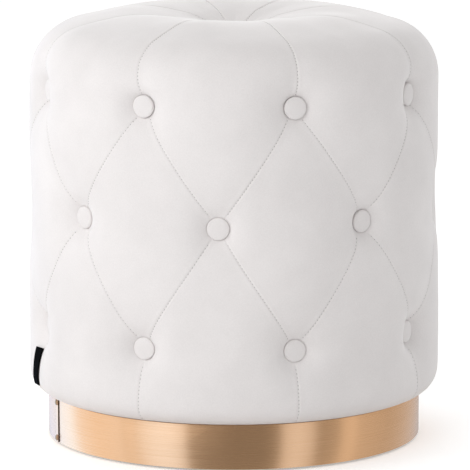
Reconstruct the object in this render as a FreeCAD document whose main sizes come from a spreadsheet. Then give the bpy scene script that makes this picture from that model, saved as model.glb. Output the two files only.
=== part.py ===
import FreeCAD, Part
import math
import os

import Sketcher

# A round pouf: a drum of boards and hardboard wrapped in foam, wadding and a button-tufted velvet cover,
# screwed onto a low plinth that a brushed metal strip goes round.
# Millimetres and degrees, +Z up, origin on the floor under the middle. Angles round the pouf are counted
# from its front (-Y) towards +X.

# How many of each piece stand in a circle
BUTTONS_IN_ROW = 8
POSTS = 4
BLOCKS = 4
PLINTH_SCREWS = 4
COVER_STAPLES = 24
DUST_COVER_STAPLES = 16

# How finely the tufted form is divided: sections along each stretch of its outline
TUCK_STEPS = 3
PANEL_STEPS = 4
SHOULDER_STEPS = 6
CROWN_STEPS = 3
DIMPLE_STEPS = 4

# The driving dimensions, each written once
SIZES = {
    # the upholstered form
    "crown_height": 427.6,
    "body_radius": 199,
    "shoulder_radius": 53,
    "crown_rise": 17.5,
    "tuck_height": 22,
    "tuck_lip": 1.5,
    # the tufting
    "row_turn": 18,
    "upper_row_drop": 79,
    "lower_row_rise": 71,
    "middle_row_lift": 2.5,
    "seat_depth": 15,
    "seat_margin": 1,
    "dimple_reach": 45,
    "top_seat_depth": 26,
    "top_dimple_reach": 70,
    "channel_depth": 4,
    "seam_width": 3,
    # the soft layers
    "cover_thickness": 1.2,
    "cover_turn_under": 17,
    "wadding_least": 3,
    "side_foam_thickness": 24,
    "seat_foam_thickness": 28.5,
    "seat_foam_round": 27,
    "layer_gap": 0.2,
    # the drum
    "wall_thickness": 4,
    "base_board_thickness": 12,
    "top_board_thickness": 12,
    "post_side": 24,
    "post_screw_radius": 2,
    "post_screw_length": 38,
    "post_screw_head_radius": 4,
    "post_screw_head_height": 2.4,
    # the plinth
    "plinth_recess": 15.5,
    "plinth_height": 43.2,
    "band_thickness": 0.8,
    "glue_line": 0.1,
    "band_end_angle": -68.6,
    "band_lap": 9,
    "hoop_thickness": 4,
    "ring_thickness": 9,
    "top_ring_width": 62,
    "bottom_ring_width": 30,
    "block_width": 44,
    "block_depth": 28,
    "nail_radius": 0.9,
    "nail_length": 14,
    "nail_head_radius": 3,
    "nail_head_height": 1.8,
    "nail_from_edge": 4,
    "plinth_screw_radius": 2,
    "plinth_screw_length": 20,
    "plinth_screw_head_radius": 4,
    "plinth_screw_head_height": 2.6,
    "dust_cover_thickness": 0.4,
    "dust_cover_margin": 5,
    "glide_height": 2.0,
    "glide_radius": 11,
    "glide_edge": 0.6,
    "glide_nail_radius": 1.1,
    "glide_nail_length": 15,
    # the staples
    "staple_width": 10,
    "staple_leg": 6,
    "staple_wire": 0.7,
    "staple_breadth": 1.2,
    "staple_inset": 8,
    # the buttons and what holds them
    "button_radius": 11.4,
    "button_height": 6.5,
    "button_rim": 3,
    "button_edge": 0.8,
    "eye_wire_radius": 0.7,
    "eye_half_width": 2.5,
    "eye_leg": 6,
    "eye_hole_radius": 4.2,
    "twine_radius": 0.6,
    "twine_hole_radius": 3,
    "toggle_radius": 1.5,
    "toggle_length": 22,
    # the woven tag
    "tag_drop": 10,
    "tag_width": 13,
    "tag_thickness": 0.8,
    "tag_gap": 0.3,
    # clearance of a screw, nail or leg in its hole, and of a board in the drum
    "fit_gap": 0.1,
}

# What follows from them
PLACES = {
    "plinth_base": "sizes.glide_height + sizes.dust_cover_thickness",
    "plinth_top": "places.plinth_base + sizes.plinth_height",
    "plinth_radius": "sizes.body_radius - sizes.plinth_recess",
    "band_inner": "places.plinth_radius - sizes.band_thickness",
    "hoop_outer": "places.band_inner - sizes.glue_line",
    "ring_outer": "places.hoop_outer - sizes.hoop_thickness",
    "top_ring_base": "places.plinth_top - sizes.ring_thickness",
    "bottom_ring_top": "places.plinth_base + sizes.ring_thickness",
    "top_ring_inner": "places.ring_outer - sizes.top_ring_width",
    "bottom_ring_inner": "places.ring_outer - sizes.bottom_ring_width",
    "block_outer": "sqrt(pow(places.ring_outer; 2) - pow(sizes.block_width / 2; 2)) - sizes.fit_gap",
    "glide_circle": "places.block_outer - sizes.block_depth / 2",
    "plinth_screw_circle": "(places.top_ring_inner + places.bottom_ring_inner) / 2",
    "dust_cover_radius": "places.ring_outer - sizes.dust_cover_margin",
    "dust_staple_circle": "places.dust_cover_radius - sizes.staple_inset",
    "cover_staple_circle": "places.top_ring_inner - sizes.staple_inset",
    "turn_under_inner": "places.top_ring_inner - sizes.cover_turn_under",
    "lap_outer": "places.plinth_radius + sizes.band_thickness",
    "lap_sweep": "sizes.band_lap / places.plinth_radius * 180 / pi",
    "nail_angle": "sizes.band_end_angle - places.lap_sweep / 2",
    "upper_nail": "places.plinth_top - sizes.nail_from_edge",
    "lower_nail": "places.plinth_base + sizes.nail_from_edge",
    "body_base": "places.plinth_top + sizes.cover_thickness",
    "base_board_top": "places.body_base + sizes.base_board_thickness",
    "tuck_radius": "places.plinth_radius + sizes.tuck_lip",
    "lower_row": "places.plinth_top + sizes.lower_row_rise",
    "upper_row": "sizes.crown_height - sizes.upper_row_drop",
    "middle_row": "(places.lower_row + places.upper_row) / 2 + sizes.middle_row_lift",
    "seat_half": "sizes.button_radius + sizes.seat_margin",
    "tag_top": "places.lower_row - places.seat_half - sizes.tag_drop",
    "seat_radius": "sizes.body_radius - sizes.seat_depth",
    "top_seat": "sizes.crown_height - sizes.top_seat_depth",
    "under_cover": "sizes.cover_thickness + sizes.layer_gap",
    "foam_under_seat": "places.under_cover + sizes.wadding_least + sizes.layer_gap",
    "foam_outer": "places.seat_radius - places.foam_under_seat",
    "wall_outer": "places.foam_outer - sizes.side_foam_thickness",
    "wall_inner": "places.wall_outer - sizes.wall_thickness",
    "board_radius": "places.wall_inner - sizes.fit_gap",
    "seat_foam_top": "places.top_seat - places.foam_under_seat",
    "seat_foam_base": "places.seat_foam_top - sizes.seat_foam_thickness",
    "top_board_base": "places.seat_foam_base - sizes.top_board_thickness",
    "post_outer": "sqrt(pow(places.board_radius; 2) - pow(sizes.post_side / 2; 2)) - sizes.fit_gap",
    "post_circle": "places.post_outer - sizes.post_side / 2",
    "toggle_reach": "sqrt(pow(places.wall_inner - sizes.fit_gap; 2) - pow(sizes.toggle_length / 2; 2))",
    "toggle_circle": "places.toggle_reach - sizes.toggle_radius",
    "top_toggle": "places.top_board_base - sizes.toggle_radius - sizes.fit_gap",
}

doc = FreeCAD.newDocument("pouf")
sizes = doc.addObject("Spreadsheet::Sheet", "sizes")
for line, (alias, amount) in enumerate(SIZES.items(), start=1):
    sizes.set(f"A{line}", alias)
    sizes.set(f"B{line}", str(amount))
    sizes.setAlias(f"B{line}", alias)
doc.recompute()
places = doc.addObject("App::VarSet", "places")
for name, formula in PLACES.items():
    places.addProperty("App::PropertyFloat", name)
    places.setExpression(name, formula)
gauge = doc.addObject("App::VarSet", "gauge")
gauge.addProperty("App::PropertyFloat", "reading")
doc.recompute()

BUTTON_PITCH = 360 / BUTTONS_IN_ROW
UPPER_TURN = "sizes.row_turn"
MIDDLE_TURN = f"sizes.row_turn - {BUTTON_PITCH / 2}"
# the posts stand half way between two button columns, clear of the toggles behind the wall
POST_TURN = f"sizes.row_turn - {BUTTON_PITCH / 4}"
HALF_PITCH_BACK = f"-{BUTTON_PITCH / 2}"
BLOCK_TURN = f"{180 / BLOCKS}"
PLINTH_SCREW_TURN = f"{POST_TURN} + {180 / POSTS}"

made = []


# Drawing helpers

def number(formula):
    """The value of a formula at the present sizes."""
    gauge.setExpression("reading", formula)
    gauge.recompute()
    return gauge.reading


def new_body(label):
    body = doc.addObject("PartDesign::Body", label)
    body.Label = label
    made.append(body)
    return body


def origin_of(body, role):
    return next(feature for feature in body.Origin.OriginFeatures if feature.Role == role)


def sketch_on(body, role, offset=None):
    sketch = body.newObject("Sketcher::SketchObject", f"{body.Name}_sketch")
    sketch.AttachmentSupport = [(origin_of(body, role), "")]
    sketch.MapMode = "FlatFace"
    if offset:
        sketch.setExpression("AttachmentOffset", offset)
    return sketch


def bind(sketch, constraint, formula):
    index = sketch.addConstraint(constraint)
    sketch.setExpression(f"Constraints[{index}]", formula)


def arc_between(start, end, middle_x):
    """The arc, anticlockwise from start to end, whose centre has the given X."""
    near, far = start.x - middle_x, end.x - middle_x
    middle_y = (far ** 2 - near ** 2 + end.y ** 2 - start.y ** 2) / (2 * (end.y - start.y))
    circle = Part.Circle(FreeCAD.Vector(middle_x, middle_y), FreeCAD.Vector(0, 0, 1), 1)
    circle.Radius = math.hypot(near, start.y - middle_y)
    return Part.ArcOfCircle(circle, math.atan2(start.y - middle_y, near), math.atan2(end.y - middle_y, far))


def outline(sketch, corners):
    """Closes an outline, anticlockwise, through corners given as formulas. A third formula makes the edge
    that leaves its corner an arc, and is the X of the arc's centre."""
    first = sketch.GeometryCount
    points = [FreeCAD.Vector(number(corner[0]), number(corner[1])) for corner in corners]
    ring = points[1:] + points[:1]
    for corner, start, end in zip(corners, points, ring):
        is_arc = len(corner) == 3
        edge = arc_between(start, end, number(corner[2])) if is_arc else Part.LineSegment(start, end)
        sketch.addGeometry(edge)
    for step, (corner, point) in enumerate(zip(corners, points)):
        edge = first + step
        following = first + (step + 1) % len(corners)
        sketch.addConstraint(Sketcher.Constraint("Coincident", edge, 2, following, 1))
        bind(sketch, Sketcher.Constraint("DistanceX", -1, 1, edge, 1, point.x), corner[0])
        bind(sketch, Sketcher.Constraint("DistanceY", -1, 1, edge, 1, point.y), corner[1])
        if len(corner) == 3:
            bind(sketch, Sketcher.Constraint("DistanceX", -1, 1, edge, 3, number(corner[2])), corner[2])


def rectangle(sketch, left, right, bottom, top):
    outline(sketch, [(left, bottom), (right, bottom), (right, top), (left, top)])


def circle(sketch, middle_x, middle_y, radius):
    middle = FreeCAD.Vector(number(middle_x), number(middle_y))
    edge = sketch.addGeometry(Part.Circle(middle, FreeCAD.Vector(0, 0, 1), number(radius)))
    bind(sketch, Sketcher.Constraint("Radius", edge, number(radius)), radius)
    bind(sketch, Sketcher.Constraint("DistanceX", -1, 1, edge, 3, middle.x), middle_x)
    bind(sketch, Sketcher.Constraint("DistanceY", -1, 1, edge, 3, middle.y), middle_y)


def feature_on(body, kind, sketch):
    feature = body.newObject(f"PartDesign::{kind}", f"{body.Name}_{kind.lower()}")
    feature.Profile = sketch
    return feature


def pad(body, sketch, length, both_ways=False):
    feature = feature_on(body, "Pad", sketch)
    feature.Midplane = both_ways
    feature.setExpression("Length", length)
    doc.recompute()
    return feature


def removed(body, feature, before):
    """Hands back a cut after making sure that it took something away."""
    doc.recompute()
    if not body.Shape.Volume < before:
        raise RuntimeError(f"{feature.Label} cuts nothing")
    return feature


def pocket(body, sketch, length):
    """Cuts along the way that the sketch faces."""
    before = body.Shape.Volume
    feature = feature_on(body, "Pocket", sketch)
    feature.Reversed = True
    feature.setExpression("Length", length)
    return removed(body, feature, before)


def turned(body, corners, axis=None, kind="Revolution", sweep="360"):
    """Turns an outline in the XZ plane about Z, or about an upright line at the X that axis gives. A sweep
    less than the full turn lies half on each side of that plane."""
    before = body.Shape.Volume if kind == "Groove" else 0
    sketch = sketch_on(body, "XZ_Plane")
    outline(sketch, corners)
    if axis:
        foot = FreeCAD.Vector(number(axis), number(corners[0][1]))
        line = sketch.addGeometry(Part.LineSegment(foot, foot + FreeCAD.Vector(0, 1)), True)
        sketch.addConstraint(Sketcher.Constraint("Vertical", line))
        bind(sketch, Sketcher.Constraint("DistanceX", -1, 1, line, 1, foot.x), axis)
    feature = feature_on(body, kind, sketch)
    feature.ReferenceAxis = (sketch, ["Axis0" if axis else "V_Axis"])
    feature.Midplane = True
    feature.setExpression("Angle", sweep)
    doc.recompute()
    return feature if kind == "Revolution" else removed(body, feature, before)


def turned_ring(label, inner, outer, base, top):
    body = new_body(label)
    turned(body, [(inner, base), (outer, base), (outer, top), (inner, top)])
    return body


def repeat_round(body, feature, count):
    pattern = body.newObject("PartDesign::PolarPattern", f"{body.Name}_round")
    pattern.Originals = [feature]
    pattern.Axis = (origin_of(body, "Z_Axis"), [""])
    pattern.Angle = 360
    pattern.Occurrences = count
    body.Tip = pattern
    doc.recompute()


def turn_to(body, angle, level="0"):
    """Turns a piece that is drawn over +X to its angle, and lifts it to its level."""
    body.setExpression("Placement",
                       f"placement(vector(0; 0; {level}); rotation(vector(0; 0; 1); {angle} - 90))")


def face_outwards(body, angle, radius, level):
    """Sets a piece that is drawn along +Z on the side of the pouf, so that it points outwards."""
    spot = f"vector({radius} * sin({angle}); -{radius} * cos({angle}); {level})"
    body.setExpression("Placement", f"placement({spot}; rotation({angle} - 90; 90; 0))")


def radial_holes(body, levels, radius, reach, angle="0"):
    """Drills level holes outwards from the middle, at an angle from the piece's own +X."""
    sketch = sketch_on(body, "YZ_Plane", f"placement(vector(0; 0; 0); rotation(vector(0; 1; 0); {angle}))")
    for level in levels:
        circle(sketch, "0", level, radius)
    return pocket(body, sketch, reach)


def new_solid(label, shape):
    """A piece whose shape is worked out below from the same sizes."""
    piece = doc.addObject("Part::Feature", label)
    piece.Label = label
    piece.Shape = shape
    piece.Placement = FreeCAD.Placement()
    made.append(piece)
    return piece


# Plinth

def staple_legs(body, circle_radius, base, length, count, turn="0"):
    """The slots of a ring of staples, straight up from a level; the ring starts at a turn from +X."""
    slots = sketch_on(body, "XY_Plane", f"placement(vector(0; 0; {base}); rotation({turn}; 0; 0))")
    for side in ("-", ""):
        outer = f"{side}(sizes.staple_width / 2 + sizes.fit_gap)"
        inner = f"{side}(sizes.staple_width / 2 - sizes.staple_wire - sizes.fit_gap)"
        low, high = (outer, inner) if side else (inner, outer)
        half = "(sizes.staple_breadth / 2 + sizes.fit_gap)"
        rectangle(slots, f"{circle_radius} - {half}", f"{circle_radius} + {half}", low, high)
    repeat_round(body, pocket(body, slots, length), count)


def staples(label, circle_radius, base, count):
    """A ring of staples, driven upwards: each a flat wire bent down at both ends."""
    body = new_body(label)
    back = f"{circle_radius} - sizes.staple_breadth / 2"
    wire = sketch_on(body, "YZ_Plane", f"placement(vector(0; 0; {back}); rotation(0; 0; 0))")
    half = "sizes.staple_width / 2"
    inside = f"({half} - sizes.staple_wire)"
    crown = f"{base} + sizes.staple_wire"
    tip = f"{crown} + sizes.staple_leg"
    outline(wire, [(f"-{half}", base), (half, base), (half, tip), (inside, tip), (inside, crown),
                   (f"-{inside}", crown), (f"-{inside}", tip), (f"-{half}", tip)])
    repeat_round(body, pad(body, wire, "sizes.staple_breadth"), count)


STAPLE_SLOT = "sizes.staple_leg + sizes.fit_gap"
DUST_STAPLE_TURN = f"{180 / DUST_COVER_STAPLES}"
GLIDE_NAIL_HOLE = "sizes.glide_nail_radius + sizes.fit_gap"
NAIL_HOLE = "sizes.nail_radius + sizes.fit_gap"
NAIL_LEVELS = ["places.lower_nail", "places.upper_nail"]

# Glides: plastic pads, each with its nail, that the pouf stands on
for index in range(BLOCKS):
    glide = new_body(f"glide_{index + 1}")
    turned(glide, [("0", "0"),
                   ("sizes.glide_radius - sizes.glide_edge", "0"),
                   ("sizes.glide_radius", "sizes.glide_edge"),
                   ("sizes.glide_radius", "sizes.glide_height"),
                   ("sizes.glide_nail_radius", "sizes.glide_height"),
                   ("sizes.glide_nail_radius", "sizes.glide_height + sizes.glide_nail_length"),
                   ("0", "sizes.glide_height + sizes.glide_nail_length")])
    glide_turn = f"({BLOCK_TURN} + {360 / BLOCKS * index})"
    glide.setExpression("Placement",
                        f"placement(vector(places.glide_circle * sin({glide_turn});"
                        f" -places.glide_circle * cos({glide_turn}); 0); rotation(0; 0; 0))")

# Dust cover: thin cloth under the plinth, held by staples and by the glides
dust_cover = turned_ring("dust_cover", "0", "places.dust_cover_radius", "sizes.glide_height",
                         "places.plinth_base")
glide_holes = sketch_on(dust_cover, "XY_Plane")
circle(glide_holes, "places.glide_circle", "0", GLIDE_NAIL_HOLE)
repeat_round(dust_cover, pocket(dust_cover, glide_holes, "places.plinth_base"), BLOCKS)
staple_legs(dust_cover, "places.dust_staple_circle", "0", "places.plinth_base", DUST_COVER_STAPLES,
            DUST_STAPLE_TURN)
turn_to(dust_cover, BLOCK_TURN)
staples("dust_cover_staples", "places.dust_staple_circle", "sizes.glide_height - sizes.staple_wire",
        DUST_COVER_STAPLES)
turn_to(made[-1], f"{BLOCK_TURN} + {DUST_STAPLE_TURN}")

# Bottom ring: plywood, with the holes of the glides, the staples and the lower band nail
bottom_ring = turned_ring("plinth_bottom_ring", "places.bottom_ring_inner", "places.ring_outer",
                          "places.plinth_base", "places.bottom_ring_top")
glide_holes = sketch_on(bottom_ring, "XY_Plane")
circle(glide_holes, "places.glide_circle", "0", GLIDE_NAIL_HOLE)
repeat_round(bottom_ring, pocket(bottom_ring, glide_holes, "places.bottom_ring_top"), BLOCKS)
staple_legs(bottom_ring, "places.dust_staple_circle", "sizes.glide_height", STAPLE_SLOT, DUST_COVER_STAPLES,
            DUST_STAPLE_TURN)
radial_holes(bottom_ring, NAIL_LEVELS[:1], NAIL_HOLE, "places.ring_outer",
             f"places.nail_angle - {BLOCK_TURN}")
turn_to(bottom_ring, BLOCK_TURN)

# Spacer blocks between the two rings, one over each glide
NAIL_IN_BLOCK = "sizes.glide_height + sizes.glide_nail_length - places.bottom_ring_top"
for index in range(BLOCKS):
    block = new_body(f"plinth_block_{index + 1}")
    footprint = sketch_on(block, "XY_Plane")
    rectangle(footprint, "places.block_outer - sizes.block_depth", "places.block_outer",
              "-sizes.block_width / 2", "sizes.block_width / 2")
    pad(block, footprint, "places.top_ring_base - places.bottom_ring_top")
    nail_hole = sketch_on(block, "XY_Plane")
    circle(nail_hole, "places.glide_circle", "0", GLIDE_NAIL_HOLE)
    pocket(block, nail_hole, f"{NAIL_IN_BLOCK} + sizes.fit_gap")
    turn_to(block, f"{BLOCK_TURN} + {360 / BLOCKS * index}", "places.bottom_ring_top")

# Top ring: plywood, screwed up into the base board through the turned-under cover
top_ring = turned_ring("plinth_top_ring", "places.top_ring_inner", "places.ring_outer",
                       "places.top_ring_base", "places.plinth_top")
screw_holes = sketch_on(top_ring, "XY_Plane")
circle(screw_holes, "places.plinth_screw_circle", "0", "sizes.plinth_screw_radius + sizes.fit_gap")
repeat_round(top_ring, pocket(top_ring, screw_holes, "places.plinth_top"), PLINTH_SCREWS)
radial_holes(top_ring, NAIL_LEVELS[1:], NAIL_HOLE, "places.ring_outer",
             f"places.nail_angle - ({PLINTH_SCREW_TURN})")
turn_to(top_ring, PLINTH_SCREW_TURN)

plinth_screws = new_body("plinth_screws")
SCREW_AXIS = "places.plinth_screw_circle"
SCREW_RIM = f"{SCREW_AXIS} + sizes.plinth_screw_head_radius"
SCREW_SHANK = f"{SCREW_AXIS} + sizes.plinth_screw_radius"
SCREW_HEAD = "places.top_ring_base - sizes.plinth_screw_head_height"
SCREW_TIP = "places.top_ring_base + sizes.plinth_screw_length"
screw = turned(plinth_screws, [(SCREW_AXIS, SCREW_HEAD), (SCREW_RIM, SCREW_HEAD),
                               (SCREW_RIM, "places.top_ring_base"), (SCREW_SHANK, "places.top_ring_base"),
                               (SCREW_SHANK, SCREW_TIP), (SCREW_AXIS, SCREW_TIP)], axis=SCREW_AXIS)
repeat_round(plinth_screws, screw, PLINTH_SCREWS)
turn_to(plinth_screws, PLINTH_SCREW_TURN)

# Hoop: thin plywood bent round both rings, which gives the metal strip its backing
hoop = turned_ring("plinth_hoop", "places.ring_outer", "places.hoop_outer", "places.plinth_base",
                   "places.plinth_top")
radial_holes(hoop, NAIL_LEVELS, NAIL_HOLE, "places.plinth_radius")
turn_to(hoop, "places.nail_angle")

# Band: one brushed metal strip round the hoop, its end lapped over its start
band = turned_ring("plinth_band", "places.band_inner", "places.plinth_radius", "places.plinth_base",
                   "places.plinth_top")
LAP_INNER = "places.plinth_radius - sizes.band_thickness / 2"
turned(band, [(LAP_INNER, "places.plinth_base"), ("places.lap_outer", "places.plinth_base"),
              ("places.lap_outer", "places.plinth_top"), (LAP_INNER, "places.plinth_top")],
       sweep="places.lap_sweep")
radial_holes(band, NAIL_LEVELS, NAIL_HOLE, "places.lap_outer")
turn_to(band, "places.nail_angle")

# Two round-head nails hold the lapped end, one over the other
band_nails = new_body("band_nails")
nail = turned(band_nails, [("0", "-sizes.nail_length"), ("sizes.nail_radius", "-sizes.nail_length"),
                           ("sizes.nail_radius", "0"), ("sizes.nail_head_radius", "0", "0"),
                           ("0", "sizes.nail_head_height")])
nail_pair = band_nails.newObject("PartDesign::LinearPattern", "nail_pair")
nail_pair.Originals = [nail]
nail_pair.Direction = (origin_of(band_nails, "X_Axis"), [""])
nail_pair.setExpression("Length", "places.upper_nail - places.lower_nail")
nail_pair.Occurrences = 2
band_nails.Tip = nail_pair
face_outwards(band_nails, "places.nail_angle", "places.lap_outer", "places.upper_nail")


# Drum

def countersunk(middle, head, way, room="0"):
    """The outline of a countersunk screw whose head lies flush at a level and whose point is a way, up or
    down, from there. Room widens it into the hole for such a screw."""
    shank = f"{middle} + sizes.post_screw_radius + {room}"
    rim = f"{middle} + sizes.post_screw_head_radius + {room}"
    neck = f"{head} {way} sizes.post_screw_head_height"
    tip = f"{head} {way} (sizes.post_screw_length + {room})"
    corners = [(middle, head), (rim, head), (shank, neck), (shank, tip), (middle, tip)]
    return corners if way == "+" else corners[::-1]


SCREW_LEVELS = [("places.body_base", "+"), ("places.seat_foam_base", "-")]

# Base board and top board: plywood discs that the posts hold apart
base_board = turned_ring("base_board", "0", "places.board_radius", "places.body_base",
                         "places.base_board_top")
top_board = turned_ring("top_board", "sizes.twine_hole_radius", "places.board_radius",
                        "places.top_board_base", "places.seat_foam_base")
for board, (head_level, way) in zip((base_board, top_board), SCREW_LEVELS):
    screw_hole = turned(board, countersunk("places.post_circle", head_level, way, "sizes.fit_gap"),
                        axis="places.post_circle", kind="Groove")
    repeat_round(board, screw_hole, POSTS)
    turn_to(board, POST_TURN)
pilot = sketch_on(base_board, "XY_Plane", f"placement(vector(0; 0; 0); rotation({180 / POSTS}; 0; 0))")
circle(pilot, "places.plinth_screw_circle", "0", "sizes.plinth_screw_radius + sizes.fit_gap")
repeat_round(base_board, pocket(base_board, pilot, f"{SCREW_TIP} + sizes.fit_gap"), PLINTH_SCREWS)
staple_legs(base_board, "places.cover_staple_circle", "places.plinth_top", STAPLE_SLOT, COVER_STAPLES)

# Posts: softwood battens between the boards, with a pilot hole in each end
for index in range(POSTS):
    post = new_body(f"frame_post_{index + 1}")
    footprint = sketch_on(post, "XY_Plane",
                          "placement(vector(0; 0; places.base_board_top); rotation(0; 0; 0))")
    rectangle(footprint, "places.post_outer - sizes.post_side", "places.post_outer", "-sizes.post_side / 2",
              "sizes.post_side / 2")
    pad(post, footprint, "places.top_board_base - places.base_board_top")
    for head_level, way in SCREW_LEVELS:
        turned(post, countersunk("places.post_circle", head_level, way, "sizes.fit_gap"),
               axis="places.post_circle", kind="Groove")
    turn_to(post, f"{POST_TURN} + {360 / POSTS * index}")

post_screws = new_body("post_screws")
for head_level, way in SCREW_LEVELS:
    screw = turned(post_screws, countersunk("places.post_circle", head_level, way),
                   axis="places.post_circle")
    repeat_round(post_screws, screw, POSTS)
turn_to(post_screws, POST_TURN)


def twine_holes(body, radius):
    """A hole behind each side button; the body is turned so that the upper row starts over +X."""
    outer_rows = radial_holes(body, ["places.lower_row", "places.upper_row"], radius, "sizes.body_radius")
    repeat_round(body, outer_rows, BUTTONS_IN_ROW)
    middle = radial_holes(body, ["places.middle_row"], radius, "sizes.body_radius", HALF_PITCH_BACK)
    repeat_round(body, middle, BUTTONS_IN_ROW)
    turn_to(body, UPPER_TURN)


# Wall: hardboard bent round both boards, drilled for the twine
wall = turned_ring("drum_wall", "places.wall_inner", "places.wall_outer", "places.body_base",
                   "places.seat_foam_base")
twine_holes(wall, "sizes.twine_hole_radius")

# Foam: a slab wrapped round the wall, and a thick disc with a rounded edge on the top board
side_foam = turned_ring("side_foam", "places.wall_outer", "places.foam_outer", "places.body_base",
                        "places.seat_foam_base")
twine_holes(side_foam, "sizes.eye_hole_radius")
seat_foam = new_body("seat_foam")
FOAM_ROUND_MIDDLE = "places.foam_outer - sizes.seat_foam_round"
turned(seat_foam, [("sizes.eye_hole_radius", "places.seat_foam_base"),
                   ("places.foam_outer", "places.seat_foam_base"),
                   ("places.foam_outer", "places.seat_foam_top - sizes.seat_foam_round", FOAM_ROUND_MIDDLE),
                   (FOAM_ROUND_MIDDLE, "places.seat_foam_top"),
                   ("sizes.eye_hole_radius", "places.seat_foam_top")])

# Staples that hold the turned-under cover to the base board
staples("cover_staples", "places.cover_staple_circle", "places.plinth_top - sizes.staple_wire",
        COVER_STAPLES)
turn_to(made[-1], POST_TURN)


# Tufted form

# A place on the outline of the form before it is tufted: its distance from the middle, its level, and the
# way out of the surface there. The outline runs up from the lower edge and over the shoulder to the crown.
crown_lean = 2 * math.atan(sizes.crown_rise / (sizes.body_radius - sizes.shoulder_radius))
crown_edge = sizes.body_radius - sizes.shoulder_radius * (1 - math.sin(crown_lean))
crown_curve = crown_edge / math.sin(crown_lean)
shoulder_level = (sizes.crown_height - crown_edge * math.tan(crown_lean / 2)
                  - sizes.shoulder_radius * math.cos(crown_lean))
seat_spread = math.atan(places.seat_half / places.seat_radius)
half_pitch = math.radians(BUTTON_PITCH / 2)


def on_tuck(angle):
    """On the rolled lower edge, from 0 underneath to a quarter turn at the side."""
    width = sizes.body_radius - places.tuck_radius
    out, down = sizes.tuck_height * math.sin(angle), width * math.cos(angle)
    slope = math.hypot(out, down)
    level = places.plinth_top + sizes.tuck_height * (1 - math.cos(angle))
    return places.tuck_radius + width * math.sin(angle), level, out / slope, -down / slope


def on_side(run):
    """On the side, where the run is the level, and on over the shoulder."""
    angle = max(run - shoulder_level, 0) / sizes.shoulder_radius
    radius = sizes.body_radius - sizes.shoulder_radius * (1 - math.cos(angle))
    level = min(run, shoulder_level) + sizes.shoulder_radius * math.sin(angle)
    return radius, level, math.cos(angle), math.sin(angle)


def on_crown(radius):
    rise = math.sqrt(crown_curve ** 2 - radius ** 2)
    return radius, sizes.crown_height - crown_curve + rise, radius / crown_curve, rise / crown_curve


def sunk(place, depth):
    radius, level, out, up = place
    return radius - depth * out, level - depth * up


def pull(distance, reach):
    """The share of a button's depth that is left at a distance from its seat."""
    return math.cos(math.pi / 2 * min(max(distance, 0) / reach, 1)) ** 2


def seam_depth(run):
    """How deep a seam lies: a shallow channel that drops to the seat of each button."""
    nearest = min(abs(run - row) for row in (places.lower_row, places.middle_row, places.upper_row))
    deepest = sizes.seat_depth - sizes.channel_depth
    return sizes.channel_depth + deepest * pull(nearest - places.seat_half, sizes.dimple_reach)


def panel_depth(run, row):
    """How deep the middle of a panel lies, above or below the button at its corner."""
    return sizes.seat_depth * pull(abs(run - row) - places.seat_half, sizes.dimple_reach)


def between(low, high, steps):
    return [low + (high - low) * step / steps for step in range(1, steps)]


def seam_station(place, seam, panel, inset):
    """A section where one narrow seam lies between each two wide panels."""
    foot = sunk(place, seam + inset)
    return math.atan(sizes.seam_width / 2 / foot[0]), foot, None, sunk(place, panel + inset)


def seat_stations(row, inset, offset):
    """The two sections along the edges of a row's flat button seats."""
    edge = (places.seat_radius - inset) / math.cos(seat_spread)
    for level in (row - places.seat_half, row + places.seat_half):
        panel = sunk(on_side(level), inset)
        if offset:
            yield half_pitch - seat_spread, (edge, level), panel, None
        else:
            yield seat_spread, (edge, level), None, panel


def diamond_stations(low_row, high_row, inset, widening):
    """The sections between two rows, where the seams cross over from one row's buttons to the next's."""
    low, high = low_row + places.seat_half, high_row - places.seat_half
    own_row, other_row = (low_row, high_row) if widening else (high_row, low_row)
    for run in between(low, high, PANEL_STEPS):
        share = (run - low) / (high - low)
        spread = seat_spread + (half_pitch - 2 * seat_spread) * (share if widening else 1 - share)
        place = on_side(run)
        yield (spread, sunk(place, seam_depth(run) + inset), sunk(place, panel_depth(run, own_row) + inset),
               sunk(place, panel_depth(run, other_row) + inset))


def stations(inset):
    """The sections of the form from its lower edge to the seat of the top button, drawn in by an inset. Each
    is half the angle of the panels on the upper and lower buttons' columns, the corner between panels, and
    the middle of those panels and of the panels between them, or None where the edge is straight."""
    for angle in (math.pi / 2 * step / TUCK_STEPS for step in range(TUCK_STEPS + 1)):
        place = on_tuck(angle)
        yield seam_station(place, seam_depth(place[1]) * math.sin(angle), 0, inset)
    yield seam_station(on_side(places.tag_top), seam_depth(places.tag_top), 0, inset)
    yield from seat_stations(places.lower_row, inset, offset=False)
    yield from diamond_stations(places.lower_row, places.middle_row, inset, widening=True)
    yield from seat_stations(places.middle_row, inset, offset=True)
    yield from diamond_stations(places.middle_row, places.upper_row, inset, widening=False)
    yield from seat_stations(places.upper_row, inset, offset=False)
    shoulder_end = shoulder_level + sizes.shoulder_radius * (math.pi / 2 - crown_lean)
    for run in between(places.upper_row + places.seat_half, shoulder_end, SHOULDER_STEPS):
        yield seam_station(on_side(run), seam_depth(run), 0, inset)
    dimple_edge = places.seat_half + sizes.top_dimple_reach
    yield seam_station(on_crown(crown_edge), sizes.channel_depth, 0, inset)
    for radius in between(crown_edge, dimple_edge, CROWN_STEPS):
        yield seam_station(on_crown(radius), sizes.channel_depth, 0, inset)
    deepest = sizes.top_seat_depth - sizes.channel_depth
    for radius in [dimple_edge] + between(dimple_edge, places.seat_half, DIMPLE_STEPS):
        left = pull(radius - places.seat_half, sizes.top_dimple_reach)
        seam = sizes.channel_depth + deepest * left
        yield seam_station(on_crown(radius), seam, sizes.top_seat_depth * left, inset)
    seat = (places.seat_half, places.top_seat - inset)
    yield math.atan(sizes.seam_width / 2 / places.seat_half), seat, None, seat


def spot(angle, foot):
    return FreeCAD.Vector(foot[0] * math.sin(angle), -foot[0] * math.cos(angle), foot[1])


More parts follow.
